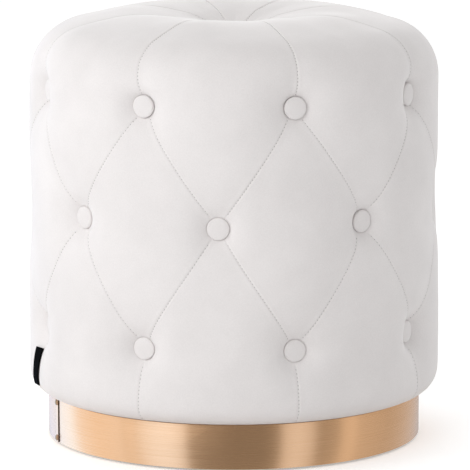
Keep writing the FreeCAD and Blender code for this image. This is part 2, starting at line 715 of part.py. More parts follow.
def panel_edge(start, end, foot, middle):
    """One panel's edge in a section: an arc through its middle, or straight."""
    if middle is None:
        return Part.LineSegment(spot(start, foot), spot(end, foot))
    return Part.Arc(spot(start, foot), spot((start + end) / 2, middle), spot(end, foot))


def section(station):
    spread, foot, column_middle, gap_middle = station
    edges = []
    for column in range(BUTTONS_IN_ROW):
        here = math.radians(sizes.row_turn + BUTTON_PITCH * column)
        edges.append(panel_edge(here - spread, here + spread, foot, column_middle))
        edges.append(panel_edge(here + spread, here + 2 * half_pitch - spread, foot, gap_middle))
    return Part.Wire([edge.toShape() for edge in edges])


def tufted_form(inset):
    """The whole upholstered form as one solid, drawn in by an inset."""
    return Part.makeLoft([section(station) for station in stations(inset)], True, True)


# Buttons: what each row's seats share, and the way a piece is set on its seat

ROWS = {
    "lower": (UPPER_TURN, "places.lower_row"),
    "middle": (MIDDLE_TURN, "places.middle_row"),
    "upper": (UPPER_TURN, "places.upper_row"),
}


def seat_placements():
    """The place of every side button's seat, pointing outwards."""
    for turn, level in ROWS.values():
        for column in range(BUTTONS_IN_ROW):
            angle = number(turn) + BUTTON_PITCH * column
            seat = spot(math.radians(angle), (places.seat_radius, number(level)))
            yield FreeCAD.Placement(seat, FreeCAD.Rotation(angle - 90, 90, 0))


TOP_PLACEMENT = FreeCAD.Placement(FreeCAD.Vector(0, 0, places.top_seat),
                                  FreeCAD.Rotation(number(UPPER_TURN) - 90, 0, 0))


def on_every_seat(side_shape, top_shape):
    """Copies a shape onto every side button's seat, with its own one for the top."""
    copies = [side_shape.transformed(placement.Matrix, True) for placement in seat_placements()]
    return copies + [top_shape.transformed(TOP_PLACEMENT.Matrix, True)]


# The way through the cover and the wadding for each button's eye
shank_depth = places.foam_under_seat
shank_hole = Part.makeCylinder(sizes.eye_hole_radius, shank_depth + sizes.cover_thickness,
                               FreeCAD.Vector(0, 0, -shank_depth))
shank_holes = on_every_seat(shank_hole, shank_hole)

# Cover: velvet on its backing, turned in under the base board and stapled there
turn_under_opening = Part.makeCylinder(places.turn_under_inner, places.body_base)
screw_hole_radius = sizes.plinth_screw_radius + sizes.fit_gap
screw_hole = Part.makeCylinder(screw_hole_radius, places.body_base,
                               FreeCAD.Vector(0, -places.plinth_screw_circle, 0))
slot_width = sizes.staple_wire + 2 * sizes.fit_gap
slot_breadth = sizes.staple_breadth + 2 * sizes.fit_gap
slot_corner = FreeCAD.Vector(0, -places.cover_staple_circle - slot_breadth / 2, 0)
slot_pair = [Part.makeBox(slot_width, slot_breadth, places.body_base, slot_corner + FreeCAD.Vector(offset))
             for offset in (-sizes.staple_width / 2 - sizes.fit_gap,
                            sizes.staple_width / 2 - sizes.staple_wire - sizes.fit_gap)]


def round_the_middle(shape, turn, count):
    """Copies a shape that stands at the front to a ring of angles that starts at a turn."""
    up = FreeCAD.Vector(0, 0, 1)
    return [shape.rotated(FreeCAD.Vector(), up, turn + 360 / count * index) for index in range(count)]


fastener_holes = round_the_middle(screw_hole, number(PLINTH_SCREW_TURN), PLINTH_SCREWS)
for slot in slot_pair:
    fastener_holes += round_the_middle(slot, number(POST_TURN), COVER_STAPLES)
filling = tufted_form(sizes.cover_thickness)
cover = tufted_form(0).cut([filling, turn_under_opening] + shank_holes + fastener_holes)
new_solid("velvet_cover", cover.Solids[0])

# Wadding: fibre that fills the panels out, from the foam to the cover
core_radius = places.foam_outer + sizes.layer_gap
core_top = places.seat_foam_top + sizes.layer_gap
core = Part.makeCylinder(core_radius, core_top)
rim = [edge for edge in core.Edges if edge.Vertexes[0].Z > 0 and edge.Curve.TypeId == "Part::GeomCircle"]
core = core.makeFillet(sizes.seat_foam_round, rim)
wadding = tufted_form(places.under_cover).cut([core] + shank_holes)
new_solid("wadding", wadding.Solids[0])

# Buttons: domed cores covered in the same velvet, one on each seat
BUTTON_OUTLINE = [("0", "0"), ("sizes.button_radius - sizes.button_edge", "0"),
                  ("sizes.button_radius", "sizes.button_edge"),
                  ("sizes.button_radius", "sizes.button_rim", "0"), ("0", "sizes.button_height")]
for row, (turn, level) in ROWS.items():
    for column in range(BUTTONS_IN_ROW):
        button = new_body(f"button_{row}_{column + 1}")
        turned(button, BUTTON_OUTLINE)
        face_outwards(button, f"({turn} + {BUTTON_PITCH * column})", "places.seat_radius", level)
top_button = new_body("button_top")
turned(top_button, BUTTON_OUTLINE)
top_button.setExpression("Placement", "placement(vector(0; 0; places.top_seat); rotation(0; 0; 0))")


def drawn_along(path_edges, start, way, radius):
    """A round wire of a radius along a path."""
    profile = Part.Wire(Part.Circle(start, way, radius).toShape())
    return Part.Wire([edge.toShape() for edge in path_edges]).makePipeShell([profile], True, False)


# Wire eyes: a bent wire on the back of each button, for the twine
def wire_eye():
    half, leg = sizes.eye_half_width, sizes.eye_leg
    slant = half * math.sqrt(0.5)
    left, right = FreeCAD.Vector(0, -half, 0), FreeCAD.Vector(0, half, 0)
    down = FreeCAD.Vector(0, 0, -leg)
    bottom = FreeCAD.Vector(0, 0, -leg - half)
    path = [Part.LineSegment(left, left + down),
            Part.Arc(left + down, down + FreeCAD.Vector(0, -slant, -slant), bottom),
            Part.Arc(bottom, down + FreeCAD.Vector(0, slant, -slant), right + down),
            Part.LineSegment(right + down, right)]
    return drawn_along(path, left, down, sizes.eye_wire_radius)


eye_depth = sizes.eye_leg + sizes.eye_half_width
new_solid("button_eyes", Part.makeCompound(on_every_seat(wire_eye(), wire_eye())))


# Twine: a closed loop through each eye and round its toggle
def twine_loop(toggle_depth):
    room = sizes.twine_radius + sizes.fit_gap / 2
    hook, turn_back = sizes.eye_wire_radius + room, sizes.toggle_radius + room
    lean = math.asin((turn_back - hook) / (toggle_depth - eye_depth))

    def beside(depth, radius, angle):
        return FreeCAD.Vector(radius * math.cos(angle), 0, -depth + radius * math.sin(angle))

    up, down = math.pi / 2, -math.pi / 2
    sides = [lean, math.pi - lean]
    eye_side = [beside(eye_depth, hook, angle) for angle in sides]
    toggle_side = [beside(toggle_depth, turn_back, angle) for angle in sides]
    arcs = []
    for depth, radius, far in ((eye_depth, hook, up), (toggle_depth, turn_back, down)):
        for angle in sides:
            near = angle if far == up or angle < up else angle - 2 * math.pi
            ends = [beside(depth, radius, near), beside(depth, radius, far)]
            arcs.append(Part.Arc(ends[0], beside(depth, radius, (near + far) / 2), ends[1]))
    right_eye, left_eye, right_toggle, left_toggle = arcs
    strands = [Part.LineSegment(eye, toggle) for eye, toggle in zip(eye_side, toggle_side)]
    path = [strands[0], right_toggle, left_toggle, strands[1], left_eye, right_eye]
    return drawn_along(path, eye_side[0], toggle_side[0] - eye_side[0], sizes.twine_radius)


side_toggle_depth = places.seat_radius - places.toggle_circle
top_toggle_depth = places.top_seat - places.top_toggle
loops = on_every_seat(twine_loop(side_toggle_depth), twine_loop(top_toggle_depth))
new_solid("button_twines", Part.makeCompound(loops))


# Toggles: steel pins across the holes inside the drum, which the twine pulls against
toggles = new_body("twine_toggles")
for levels, turn in ((["places.lower_row", "places.upper_row"], "0"),
                     (["places.middle_row"], HALF_PITCH_BACK)):
    pins = sketch_on(toggles, "XZ_Plane", f"placement(vector(0; 0; 0); rotation(vector(0; 1; 0); {turn}))")
    for level in levels:
        circle(pins, "places.toggle_circle", level, "sizes.toggle_radius")
    repeat_round(toggles, pad(toggles, pins, "sizes.toggle_length", both_ways=True), BUTTONS_IN_ROW)
top_pin = sketch_on(toggles, "XZ_Plane")
circle(top_pin, "0", "places.top_toggle", "sizes.toggle_radius")
pad(toggles, top_pin, "sizes.toggle_length", both_ways=True)
turn_to(toggles, UPPER_TURN)

# Tag: a folded woven tab sewn into the short seam under a button at the left, lying back on the cover
TAG_COLUMN = -2
tag_stations = list(stations(0))[TUCK_STEPS - 1:TUCK_STEPS + 2]
tag_sections = []
for spread, foot, _, gap_middle in tag_stations:
    here = math.radians(sizes.row_turn + BUTTON_PITCH * TAG_COLUMN)
    panel = panel_edge(here - 2 * half_pitch + spread, here - spread, foot, gap_middle).toShape()
    sewn, free = [panel.valueAt(panel.getParameterByLength(panel.Length - along))
                  for along in (0, sizes.tag_width)]
    away = FreeCAD.Vector(0, 0, 1).cross(free - sewn)
    away = away.normalize() * (-1 if away.dot(sewn) < 0 else 1)
    lift, rise = away * sizes.tag_gap, away * (sizes.tag_gap + sizes.tag_thickness)
    tag_sections.append(Part.makePolygon([sewn + lift, free + lift, free + rise, sewn + rise, sewn + lift]))
new_solid("label_tag", Part.makeLoft(tag_sections, True, True))

# Check everything before anything is written
doc.recompute()
faults = [thing.Label for thing in doc.Objects if {"Invalid", "Error"} & set(thing.State)]
for piece in made:
    shape = piece.Shape
    if shape.isNull() or not shape.isValid() or not shape.Solids or shape.Volume <= 0:
        faults.append(piece.Label)
if faults:
    raise RuntimeError(f"these pieces failed: {faults}")

os.makedirs("parts", exist_ok=True)
for piece in made:
    piece.Shape.exportStep(f"parts/{piece.Label}.step")
print(len(made), "pieces,", sum(len(piece.Shape.Solids) for piece in made), "solids")
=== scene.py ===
import math

import bmesh
import bpy
import numpy as np
from mathutils import Euler, Matrix, Vector
from mathutils.bvhtree import BVHTree


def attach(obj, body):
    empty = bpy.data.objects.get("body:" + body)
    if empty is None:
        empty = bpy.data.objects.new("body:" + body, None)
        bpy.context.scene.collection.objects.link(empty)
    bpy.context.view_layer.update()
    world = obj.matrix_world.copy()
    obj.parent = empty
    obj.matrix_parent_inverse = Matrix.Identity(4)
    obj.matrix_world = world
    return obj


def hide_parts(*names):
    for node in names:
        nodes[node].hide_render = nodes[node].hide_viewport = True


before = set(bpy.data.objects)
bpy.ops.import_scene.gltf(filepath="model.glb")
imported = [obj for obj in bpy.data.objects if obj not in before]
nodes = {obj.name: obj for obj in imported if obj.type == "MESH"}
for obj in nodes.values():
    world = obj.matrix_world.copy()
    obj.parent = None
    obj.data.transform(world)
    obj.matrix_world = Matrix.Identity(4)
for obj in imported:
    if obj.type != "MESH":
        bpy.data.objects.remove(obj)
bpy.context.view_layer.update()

# Plinth frame: two birch plywood rings with softwood blocks between them and thin plywood bent round both.
# It is glued and screwed up into the base board, and shows only as a narrow edge underneath.


def srgb(red, green, blue):
    """A colour as the eye reads it, from 0 to 255, as a shader takes it."""
    shares = [value / 255 for value in (red, green, blue)]
    return tuple(s / 12.92 if s <= 0.04045 else ((s + 0.055) / 1.055) ** 2.4 for s in shares) + (1.0,)


def finish_named(name, **sockets):
    """A new material with its shader, whose plain values are set on the shader's own sockets."""
    material = bpy.data.materials.new(name)
    material.use_nodes = True
    shader = material.node_tree.nodes["Principled BSDF"]
    for socket, value in sockets.items():
        shader.inputs[socket.replace("_", " ")].default_value = value
    return material, material.node_tree, shader


def add(tree, kind, values=None, **settings):
    """One more node in a tree, with its settings and its plain input values."""
    made = tree.nodes.new(kind)
    for setting, value in settings.items():
        setattr(made, setting, value)
    for socket, value in (values or {}).items():
        made.inputs[socket].default_value = value
    return made


def wire(tree, source, output, target, socket):
    """A link from one node's output to another's input."""
    tree.links.new(source.outputs[output], target.inputs[socket])


def two_tones(tree, dark, light, low=0.0, high=1.0):
    """A ramp from a finish's darker tone to its lighter one."""
    ramp = add(tree, "ShaderNodeValToRGB")
    for stop, position, colour in zip(ramp.color_ramp.elements, (low, high), (dark, light)):
        stop.position = position
        stop.color = colour
    return ramp


def new_group(name, takes, gives):
    """An empty shader group with its sockets, its input node and its output node."""
    group = bpy.data.node_groups.new(name, "ShaderNodeTree")
    for label, kind, default in takes:
        socket = group.interface.new_socket(label, in_out="INPUT", socket_type=kind)
        socket.default_value = default
    for label, kind in gives:
        group.interface.new_socket(label, in_out="OUTPUT", socket_type=kind)
    return group, group.nodes.new("NodeGroupInput"), group.nodes.new("NodeGroupOutput")


def place_group(tree, group, values):
    """A group set into a material, with its own values."""
    made = tree.nodes.new("ShaderNodeGroup")
    made.node_tree = group
    for label, value in values.items():
        made.inputs[label].default_value = value
    return made


def dress(material, *names):
    """Gives CAD nodes whose shape is right their finish."""
    for name in names:
        nodes[name].data.materials.clear()
        nodes[name].data.materials.append(material)


grain, grain_in, grain_out = new_group(
    "timber_grain",
    [("Light", "NodeSocketColor", srgb(226, 198, 154)), ("Dark", "NodeSocketColor", srgb(176, 136, 88)),
     ("Stretch", "NodeSocketVector", (8.0, 120.0, 120.0))],
    [("Colour", "NodeSocketColor"), ("Relief", "NodeSocketFloat")])
grain_where = add(grain, "ShaderNodeTexCoord")
run_of_grain = add(grain, "ShaderNodeVectorMath", operation="MULTIPLY")
wire(grain, grain_where, "Object", run_of_grain, 0)
wire(grain, grain_in, "Stretch", run_of_grain, 1)
fibres = add(grain, "ShaderNodeTexNoise",
             {"Scale": 4.0, "Detail": 8.0, "Roughness": 0.65, "Distortion": 0.6})
wire(grain, run_of_grain, 0, fibres, "Vector")
tone = add(grain, "ShaderNodeMix", data_type="RGBA")
wire(grain, fibres, "Fac", tone, "Factor")
wire(grain, grain_in, "Dark", tone, 6)
wire(grain, grain_in, "Light", tone, 7)
wire(grain, tone, 2, grain_out, "Colour")
wire(grain, fibres, "Fac", grain_out, "Relief")


def timber(name, light, dark, stretch, roughness):
    """A raw timber finish."""
    material, tree, shader = finish_named(name, Roughness=roughness)
    figure = place_group(tree, grain, {"Light": light, "Dark": dark, "Stretch": stretch})
    relief = add(tree, "ShaderNodeBump", {"Strength": 0.25, "Distance": 0.0004})
    wire(tree, figure, "Colour", shader, "Base Color")
    wire(tree, figure, "Relief", relief, "Height")
    wire(tree, relief, "Normal", shader, "Normal")
    return material


# the plies show as thin layers, so the grain is drawn out sideways and packed closely upwards
plywood = timber("birch_plywood", srgb(225, 196, 150), srgb(170, 128, 84), (20.0, 20.0, 900.0), 0.7)
softwood = timber("pine_batten", srgb(228, 194, 140), srgb(186, 140, 86), (150.0, 150.0, 12.0), 0.65)
dress(plywood, "plinth_hoop", "plinth_top_ring", "plinth_bottom_ring", "base_board", "top_board")
dress(softwood, *[f"{batten}_{k}" for batten in ("plinth_block", "frame_post") for k in range(1, 5)])

# Screws, staples, button eyes and pins: zinc-plated steel wire and rod, driven or hooked in place.
# They sit inside or under the pouf, so their own solids carry the finish.
zinc, zinc_tree, zinc_shader = finish_named("zinc_plated_steel", Metallic=1.0)
zinc_where = add(zinc_tree, "ShaderNodeTexCoord")
zinc_cloud = add(zinc_tree, "ShaderNodeTexNoise", {"Scale": 420.0, "Detail": 4.0})
zinc_tone = two_tones(zinc_tree, srgb(150, 152, 156), srgb(205, 206, 208))
zinc_dullness = add(zinc_tree, "ShaderNodeMapRange", {"To Min": 0.28, "To Max": 0.5})
wire(zinc_tree, zinc_where, "Object", zinc_cloud, "Vector")
wire(zinc_tree, zinc_cloud, "Fac", zinc_tone, "Fac")
wire(zinc_tree, zinc_cloud, "Fac", zinc_dullness, "Value")
wire(zinc_tree, zinc_tone, "Color", zinc_shader, "Base Color")
wire(zinc_tree, zinc_dullness, "Result", zinc_shader, "Roughness")
dress(zinc, "plinth_screws", "post_screws", "cover_staples", "dust_cover_staples", "button_eyes",
      "twine_toggles")

# Metal strip: one length of thin gold-coloured sheet, brushed along its run, glued round the plinth.
# Its long edges are eased, and at the left its sheared end laps over its start.
STRIP_RADIUS = 0.1835
STRIP_THICKNESS = 0.0008
STRIP_BASE, STRIP_TOP = 0.0024, 0.0456
STRIP_EDGE = 0.00018
STRIP_END, STRIP_LAP, LAP_STANDOFF = math.radians(-68.6), 0.009, 0.00005
SHEAR_SHIFT, SHEAR_HALF = math.radians(0.05), math.radians(0.11)
LINES_ALONG, LINES_UP = 1.6, 5200.0


def turned_piece(name, bm):
    """Closes a bmesh into an object with outward faces and smooth shading."""
    bmesh.ops.remove_doubles(bm, verts=bm.verts, dist=1e-6)
    bmesh.ops.recalc_face_normals(bm, faces=bm.faces)
    mesh = bpy.data.meshes.new(name)
    bm.to_mesh(mesh)
    bm.free()
    mesh.shade_smooth()
    piece = bpy.data.objects.new(name, mesh)
    bpy.context.scene.collection.objects.link(piece)
    return piece


def carried(piece, slot_name, *stands_for):
    """Lets a piece ride on the pouf and take the place of its CAD nodes."""
    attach(piece, "root")
    if stands_for:
        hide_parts(*stands_for)


def joined(whole, share):
    """Adds a finished share of a piece to the whole of it."""
    held = bpy.data.meshes.new("share")
    share.to_mesh(held)
    share.free()
    whole.from_mesh(held)
    bpy.data.meshes.remove(held)


def at_front(radius, level):
    """A point at the pouf's front, -Y."""
    return Vector((0, -radius, level))


def strip_length(inner, start, sweep, steps):
    """A length of the strip bent round the plinth, from its section; a full turn closes on itself."""
    bm = bmesh.new()
    section = [bm.verts.new(at_front(radius, level)) for radius, level in (
        (inner, STRIP_BASE), (inner + STRIP_THICKNESS, STRIP_BASE),
        (inner + STRIP_THICKNESS, STRIP_TOP), (inner, STRIP_TOP))]
    bm.faces.new(section)
    bmesh.ops.bevel(bm, geom=section, offset=STRIP_EDGE, segments=2, profile=0.5, affect="VERTICES",
                    material=-1)
    closes = math.isclose(sweep, math.tau)
    if closes:
        bmesh.ops.delete(bm, geom=bm.faces[:], context="FACES_ONLY")
    bmesh.ops.rotate(bm, verts=bm.verts, cent=(0, 0, 0), matrix=Matrix.Rotation(start, 3, "Z"))
    bmesh.ops.spin(bm, geom=bm.verts[:] + bm.edges[:] + bm.faces[:], axis=(0, 0, 1), cent=(0, 0, 0),
                   angle=sweep, steps=steps, use_merge=closes)
    return bm


strip = strip_length(STRIP_RADIUS - STRIP_THICKNESS, STRIP_END, math.tau, steps=360)
lap_sweep = STRIP_LAP / STRIP_RADIUS
joined(strip, strip_length(STRIP_RADIUS + LAP_STANDOFF, STRIP_END - lap_sweep, lap_sweep, steps=12))
gold_strip = turned_piece("gold_strip", strip)

brushing, brushing_in, brushing_out = new_group(
    "brushed_lines", [("Fineness", "NodeSocketFloat", 1.0)],
    [("Lines", "NodeSocketFloat"), ("Clouds", "NodeSocketFloat")])
lines_where = add(brushing, "ShaderNodeTexCoord")
lines_apart = add(brushing, "ShaderNodeSeparateXYZ")
lines_bearing = add(brushing, "ShaderNodeMath", operation="ARCTAN2")
lines_along = add(brushing, "ShaderNodeMath", {1: LINES_ALONG}, operation="MULTIPLY")
lines_up = add(brushing, "ShaderNodeMath", {1: LINES_UP}, operation="MULTIPLY")
lines_fineness = add(brushing, "ShaderNodeMath", operation="MULTIPLY")
unrolled = add(brushing, "ShaderNodeCombineXYZ")
lines = add(brushing, "ShaderNodeTexNoise", {"Scale": 1.0, "Detail": 3.0, "Roughness": 0.6})
clouds = add(brushing, "ShaderNodeTexNoise", {"Scale": 26.0, "Detail": 3.0})
wire(brushing, lines_where, "Object", lines_apart, 0)
wire(brushing, lines_apart, "X", lines_bearing, 0)
wire(brushing, lines_apart, "Y", lines_bearing, 1)
wire(brushing, lines_bearing, 0, lines_along, 0)
wire(brushing, lines_apart, "Z", lines_up, 0)
wire(brushing, lines_up, 0, lines_fineness, 0)
wire(brushing, brushing_in, "Fineness", lines_fineness, 1)
wire(brushing, lines_along, 0, unrolled, "X")
wire(brushing, lines_fineness, 0, unrolled, "Y")
wire(brushing, unrolled, 0, lines, "Vector")
wire(brushing, lines_where, "Object", clouds, "Vector")
wire(brushing, lines, "Fac", brushing_out, "Lines")
wire(brushing, clouds, "Fac", brushing_out, "Clouds")

gold, gold_tree, gold_shader = finish_named("brushed_gold", Metallic=1.0, Anisotropic=0.75,
                                            Anisotropic_Rotation=0.25)
gold_lines = place_group(gold_tree, brushing, {"Fineness": 1.0})
gold_tone = two_tones(gold_tree, srgb(226, 176, 130), srgb(242, 194, 150), low=0.3, high=0.7)
gold_dullness = add(gold_tree, "ShaderNodeMapRange",
                    {"From Min": 0.3, "From Max": 0.7, "To Min": 0.2, "To Max": 0.32})
gold_relief = add(gold_tree, "ShaderNodeBump", {"Strength": 0.12, "Distance": 0.00005})
gold_way = add(gold_tree, "ShaderNodeTangent", direction_type="RADIAL", axis="Z")
# painted shade: the sheared end of the lap and a thin run of strip beside it are painted dark brown, for
# the cut edge's own dark colour and the shade in the step of the lap
shear_where = add(gold_tree, "ShaderNodeTexCoord")
shear_apart = add(gold_tree, "ShaderNodeSeparateXYZ")
shear_forward = add(gold_tree, "ShaderNodeMath", {1: -1.0}, operation="MULTIPLY")
shear_bearing = add(gold_tree, "ShaderNodeMath", operation="ARCTAN2")
lap_shade_band = add(gold_tree, "ShaderNodeMath", {1: STRIP_END + SHEAR_SHIFT, 2: SHEAR_HALF},
                 operation="COMPARE")
# the dark brown of the painted shade at the lap's step and cut edge
gold_lap_shaded = add(gold_tree, "ShaderNodeMix", {7: srgb(74, 54, 42)}, data_type="RGBA")
wire(gold_tree, shear_where, "Object", shear_apart, 0)
wire(gold_tree, shear_apart, "Y", shear_forward, 0)
wire(gold_tree, shear_apart, "X", shear_bearing, 0)
wire(gold_tree, shear_forward, 0, shear_bearing, 1)
wire(gold_tree, shear_bearing, 0, lap_shade_band, 0)
wire(gold_tree, lap_shade_band, 0, gold_lap_shaded, "Factor")
wire(gold_tree, gold_tone, "Color", gold_lap_shaded, 6)
wire(gold_tree, gold_lines, "Lines", gold_tone, "Fac")
wire(gold_tree, gold_lines, "Lines", gold_dullness, "Value")
wire(gold_tree, gold_lines, "Lines", gold_relief, "Height")
wire(gold_tree, gold_lap_shaded, 2, gold_shader, "Base Color")
wire(gold_tree, gold_dullness, "Result", gold_shader, "Roughness")
wire(gold_tree, gold_relief, "Normal", gold_shader, "Normal")
wire(gold_tree, gold_way, "Tangent", gold_shader, "Tangent")
gold_strip.data.materials.append(gold)
carried(gold_strip, "gold_metal", "plinth_band")

# Band nails: two round-head nails of dulled gold-coloured metal, driven through the lapped end.
# Their low domed heads are turned, with a thin flat rim against the strip.
NAIL_BEARING = STRIP_END - lap_sweep / 2
NAIL_INSET = 0.004
NAIL_HEAD, NAIL_DOME, NAIL_RIM, NAIL_SHANK, NAIL_REACH = 0.003, 0.0018, 0.0002, 0.0009, 0.014


def set_outwards(bearing, radius, level):
    """The place of a piece drawn along +Z that points out of the pouf's side."""
    turn = Euler((0, math.pi / 2, bearing - math.pi / 2)).to_matrix().to_4x4()
    return Matrix.Translation((radius * math.sin(bearing), -radius * math.cos(bearing), level)) @ turn


nails = bmesh.new()
for nail_level in (STRIP_BASE + NAIL_INSET, STRIP_TOP - NAIL_INSET):
    nail = bmesh.new()
    outline = [nail.verts.new((radius, 0, level)) for radius, level in (
        (0, NAIL_DOME), (NAIL_HEAD * 0.42, NAIL_DOME * 0.9), (NAIL_HEAD * 0.76, NAIL_DOME * 0.62),
        (NAIL_HEAD * 0.95, NAIL_DOME * 0.3), (NAIL_HEAD, NAIL_RIM), (NAIL_HEAD, 0), (NAIL_SHANK, 0),
        (NAIL_SHANK, -NAIL_REACH * 0.9), (0, -NAIL_REACH))]
    chain = [nail.edges.new(pair) for pair in zip(outline, outline[1:])]
    bmesh.ops.spin(nail, geom=outline + chain, axis=(0, 0, 1), cent=(0, 0, 0), angle=math.tau, steps=28,
                   use_merge=True)
    nail_place = set_outwards(NAIL_BEARING, STRIP_RADIUS + STRIP_THICKNESS, nail_level)
    bmesh.ops.transform(nail, matrix=nail_place, verts=nail.verts)
    joined(nails, nail)
strip_nails = turned_piece("strip_nails", nails)
nail_metal, nail_tree, nail_shader = finish_named("nail_gold", Metallic=1.0)
nail_lines = place_group(nail_tree, brushing, {"Fineness": 0.4})
nail_tone = two_tones(nail_tree, srgb(108, 82, 60), srgb(206, 172, 136))
nail_dullness = add(nail_tree, "ShaderNodeMapRange", {"To Min": 0.18, "To Max": 0.34})
wire(nail_tree, nail_lines, "Clouds", nail_tone, "Fac")
wire(nail_tree, nail_lines, "Lines", nail_dullness, "Value")
wire(nail_tree, nail_tone, "Color", nail_shader, "Base Color")
wire(nail_tree, nail_dullness, "Result", nail_shader, "Roughness")
strip_nails.data.materials.append(nail_metal)
carried(strip_nails, "gold_metal", "band_nails")

# Glides: black moulded plastic pads with a nail, knocked into the plinth's underside.
# Their solids have the right shape and take a lightly scuffed plastic finish.
glide_plastic, glide_tree, glide_shader = finish_named("glide_plastic", Roughness=0.45)
glide_where = add(glide_tree, "ShaderNodeTexCoord")
glide_grain = add(glide_tree, "ShaderNodeTexNoise", {"Scale": 900.0, "Detail": 5.0})
glide_tone = two_tones(glide_tree, srgb(26, 26, 27), srgb(58, 58, 60))
glide_relief = add(glide_tree, "ShaderNodeBump", {"Strength": 0.3, "Distance": 0.0001})
wire(glide_tree, glide_where, "Object", glide_grain, "Vector")
wire(glide_tree, glide_grain, "Fac", glide_tone, "Fac")
wire(glide_tree, glide_grain, "Fac", glide_relief, "Height")
wire(glide_tree, glide_tone, "Color", glide_shader, "Base Color")
wire(glide_tree, glide_relief, "Normal", glide_shader, "Normal")
dress(glide_plastic, *[f"glide_{k}" for k in range(1, 5)])

# Dust cover: a disc of thin black non-woven cloth, pulled flat under the plinth and stapled to it.
# It dips a little between its staples and lies flat where the glides pin it.
DUST_RADIUS = 0.1736
DUST_LEVEL, DUST_THICKNESS = 0.0022, 0.0003
DUST_RINGS, DUST_RING_WIDTH = 7, DUST_RADIUS / 8.5
STAPLE_DIPS, STAPLE_DIP, SLACK_DIP = 16, 0.00012, 0.00008
dust = bmesh.new()
bmesh.ops.create_circle(dust, cap_ends=True, radius=DUST_RADIUS, segments=96)
for _ in range(DUST_RINGS):
    middle = [face for face in dust.faces if len(face.verts) > 4]
    bmesh.ops.inset_region(dust, faces=middle, thickness=DUST_RING_WIDTH, use_even_offset=True)
for vert in dust.verts:
    reach = vert.co.length / DUST_RADIUS
    way_round = math.atan2(vert.co.x, -vert.co.y)
    at_staples = STAPLE_DIP * math.sin(STAPLE_DIPS * way_round) * reach ** 4
    vert.co.z = DUST_LEVEL + at_staples + SLACK_DIP * math.sin(5 * way_round + 9 * reach)
bmesh.ops.solidify(dust, geom=dust.faces[:], thickness=DUST_THICKNESS)
dust_cloth = turned_piece("dust_cloth", dust)
felt, felt_tree, felt_shader = finish_named("black_non_woven", Roughness=0.95)
felt_where = add(felt_tree, "ShaderNodeTexCoord")
felt_dots = add(felt_tree, "ShaderNodeTexVoronoi", {"Scale": 620.0})
felt_fibre = add(felt_tree, "ShaderNodeTexNoise", {"Scale": 1400.0, "Detail": 6.0})
felt_mixed = add(felt_tree, "ShaderNodeMath", operation="MULTIPLY")
felt_tone = two_tones(felt_tree, srgb(18, 18, 19), srgb(62, 61, 62))
felt_relief = add(felt_tree, "ShaderNodeBump", {"Strength": 0.5, "Distance": 0.0002})
wire(felt_tree, felt_where, "Object", felt_dots, "Vector")
wire(felt_tree, felt_where, "Object", felt_fibre, "Vector")
wire(felt_tree, felt_dots, "Distance", felt_mixed, 0)
wire(felt_tree, felt_fibre, "Fac", felt_mixed, 1)
wire(felt_tree, felt_mixed, 0, felt_tone, "Fac")
wire(felt_tree, felt_mixed, 0, felt_relief, "Height")
wire(felt_tree, felt_tone, "Color", felt_shader, "Base Color")
wire(felt_tree, felt_relief, "Normal", felt_shader, "Normal")
dust_cloth.data.materials.append(felt)
carried(dust_cloth, "dust_cloth", "dust_cover")

# Drum wall: dark brown hardboard, bent to a tube round the two boards and pinned.
# One face is smooth and the other keeps the press screen's mesh; it is hidden behind the foam.
hardboard = timber("hardboard", srgb(128, 90, 58), srgb(88, 58, 36), (260.0, 260.0, 260.0), 0.8)
dress(hardboard, "drum_wall")

# Button twine: waxed flax twine, hooked through each button's eye and tied round a pin inside the drum.
# It is hidden behind the cover, so its solids carry a twisted yarn finish.
flax, flax_tree, flax_shader = finish_named("flax_twine", Roughness=0.85)
flax_where = add(flax_tree, "ShaderNodeTexCoord")
flax_lay = add(flax_tree, "ShaderNodeTexWave", {"Scale": 420.0, "Distortion": 3.0},
               bands_direction="DIAGONAL")
flax_tone = two_tones(flax_tree, srgb(150, 132, 98), srgb(214, 198, 164))
wire(flax_tree, flax_where, "Object", flax_lay, "Vector")
wire(flax_tree, flax_lay, "Fac", flax_tone, "Fac")
wire(flax_tree, flax_tone, "Color", flax_shader, "Base Color")
dress(flax, "button_twines")

# Foam: a slab wrapped round the drum and a thick disc on its top board, cut from cream open-cell foam.
# Both are glued on, with their edges pressed round by the cover.
FOAM_RADIUS, FOAM_INNER = 0.1788, 0.1556
FOAM_BASE, FOAM_SPLIT, FOAM_TOP = 0.0474, 0.3683, 0.3964
FOAM_GAP, TWINE_HOLE, FOAM_FILL = 0.0004, 0.0042, 0.9
SIDE_EDGE, SEAT_EDGE = 0.002, 0.026
cells, cells_tree, cells_shader = finish_named("open_cell_foam", Roughness=0.95)
cells_where = add(cells_tree, "ShaderNodeTexCoord")
cells_pores = add(cells_tree, "ShaderNodeTexVoronoi", {"Scale": 700.0})
cells_tone = two_tones(cells_tree, srgb(186, 168, 120), srgb(240, 228, 186))
cells_relief = add(cells_tree, "ShaderNodeBump", {"Strength": 0.6, "Distance": 0.0005})
wire(cells_tree, cells_where, "Object", cells_pores, "Vector")
wire(cells_tree, cells_pores, "Distance", cells_tone, "Fac")
wire(cells_tree, cells_pores, "Distance", cells_relief, "Height")
wire(cells_tree, cells_tone, "Color", cells_shader, "Base Color")
wire(cells_tree, cells_relief, "Normal", cells_shader, "Normal")


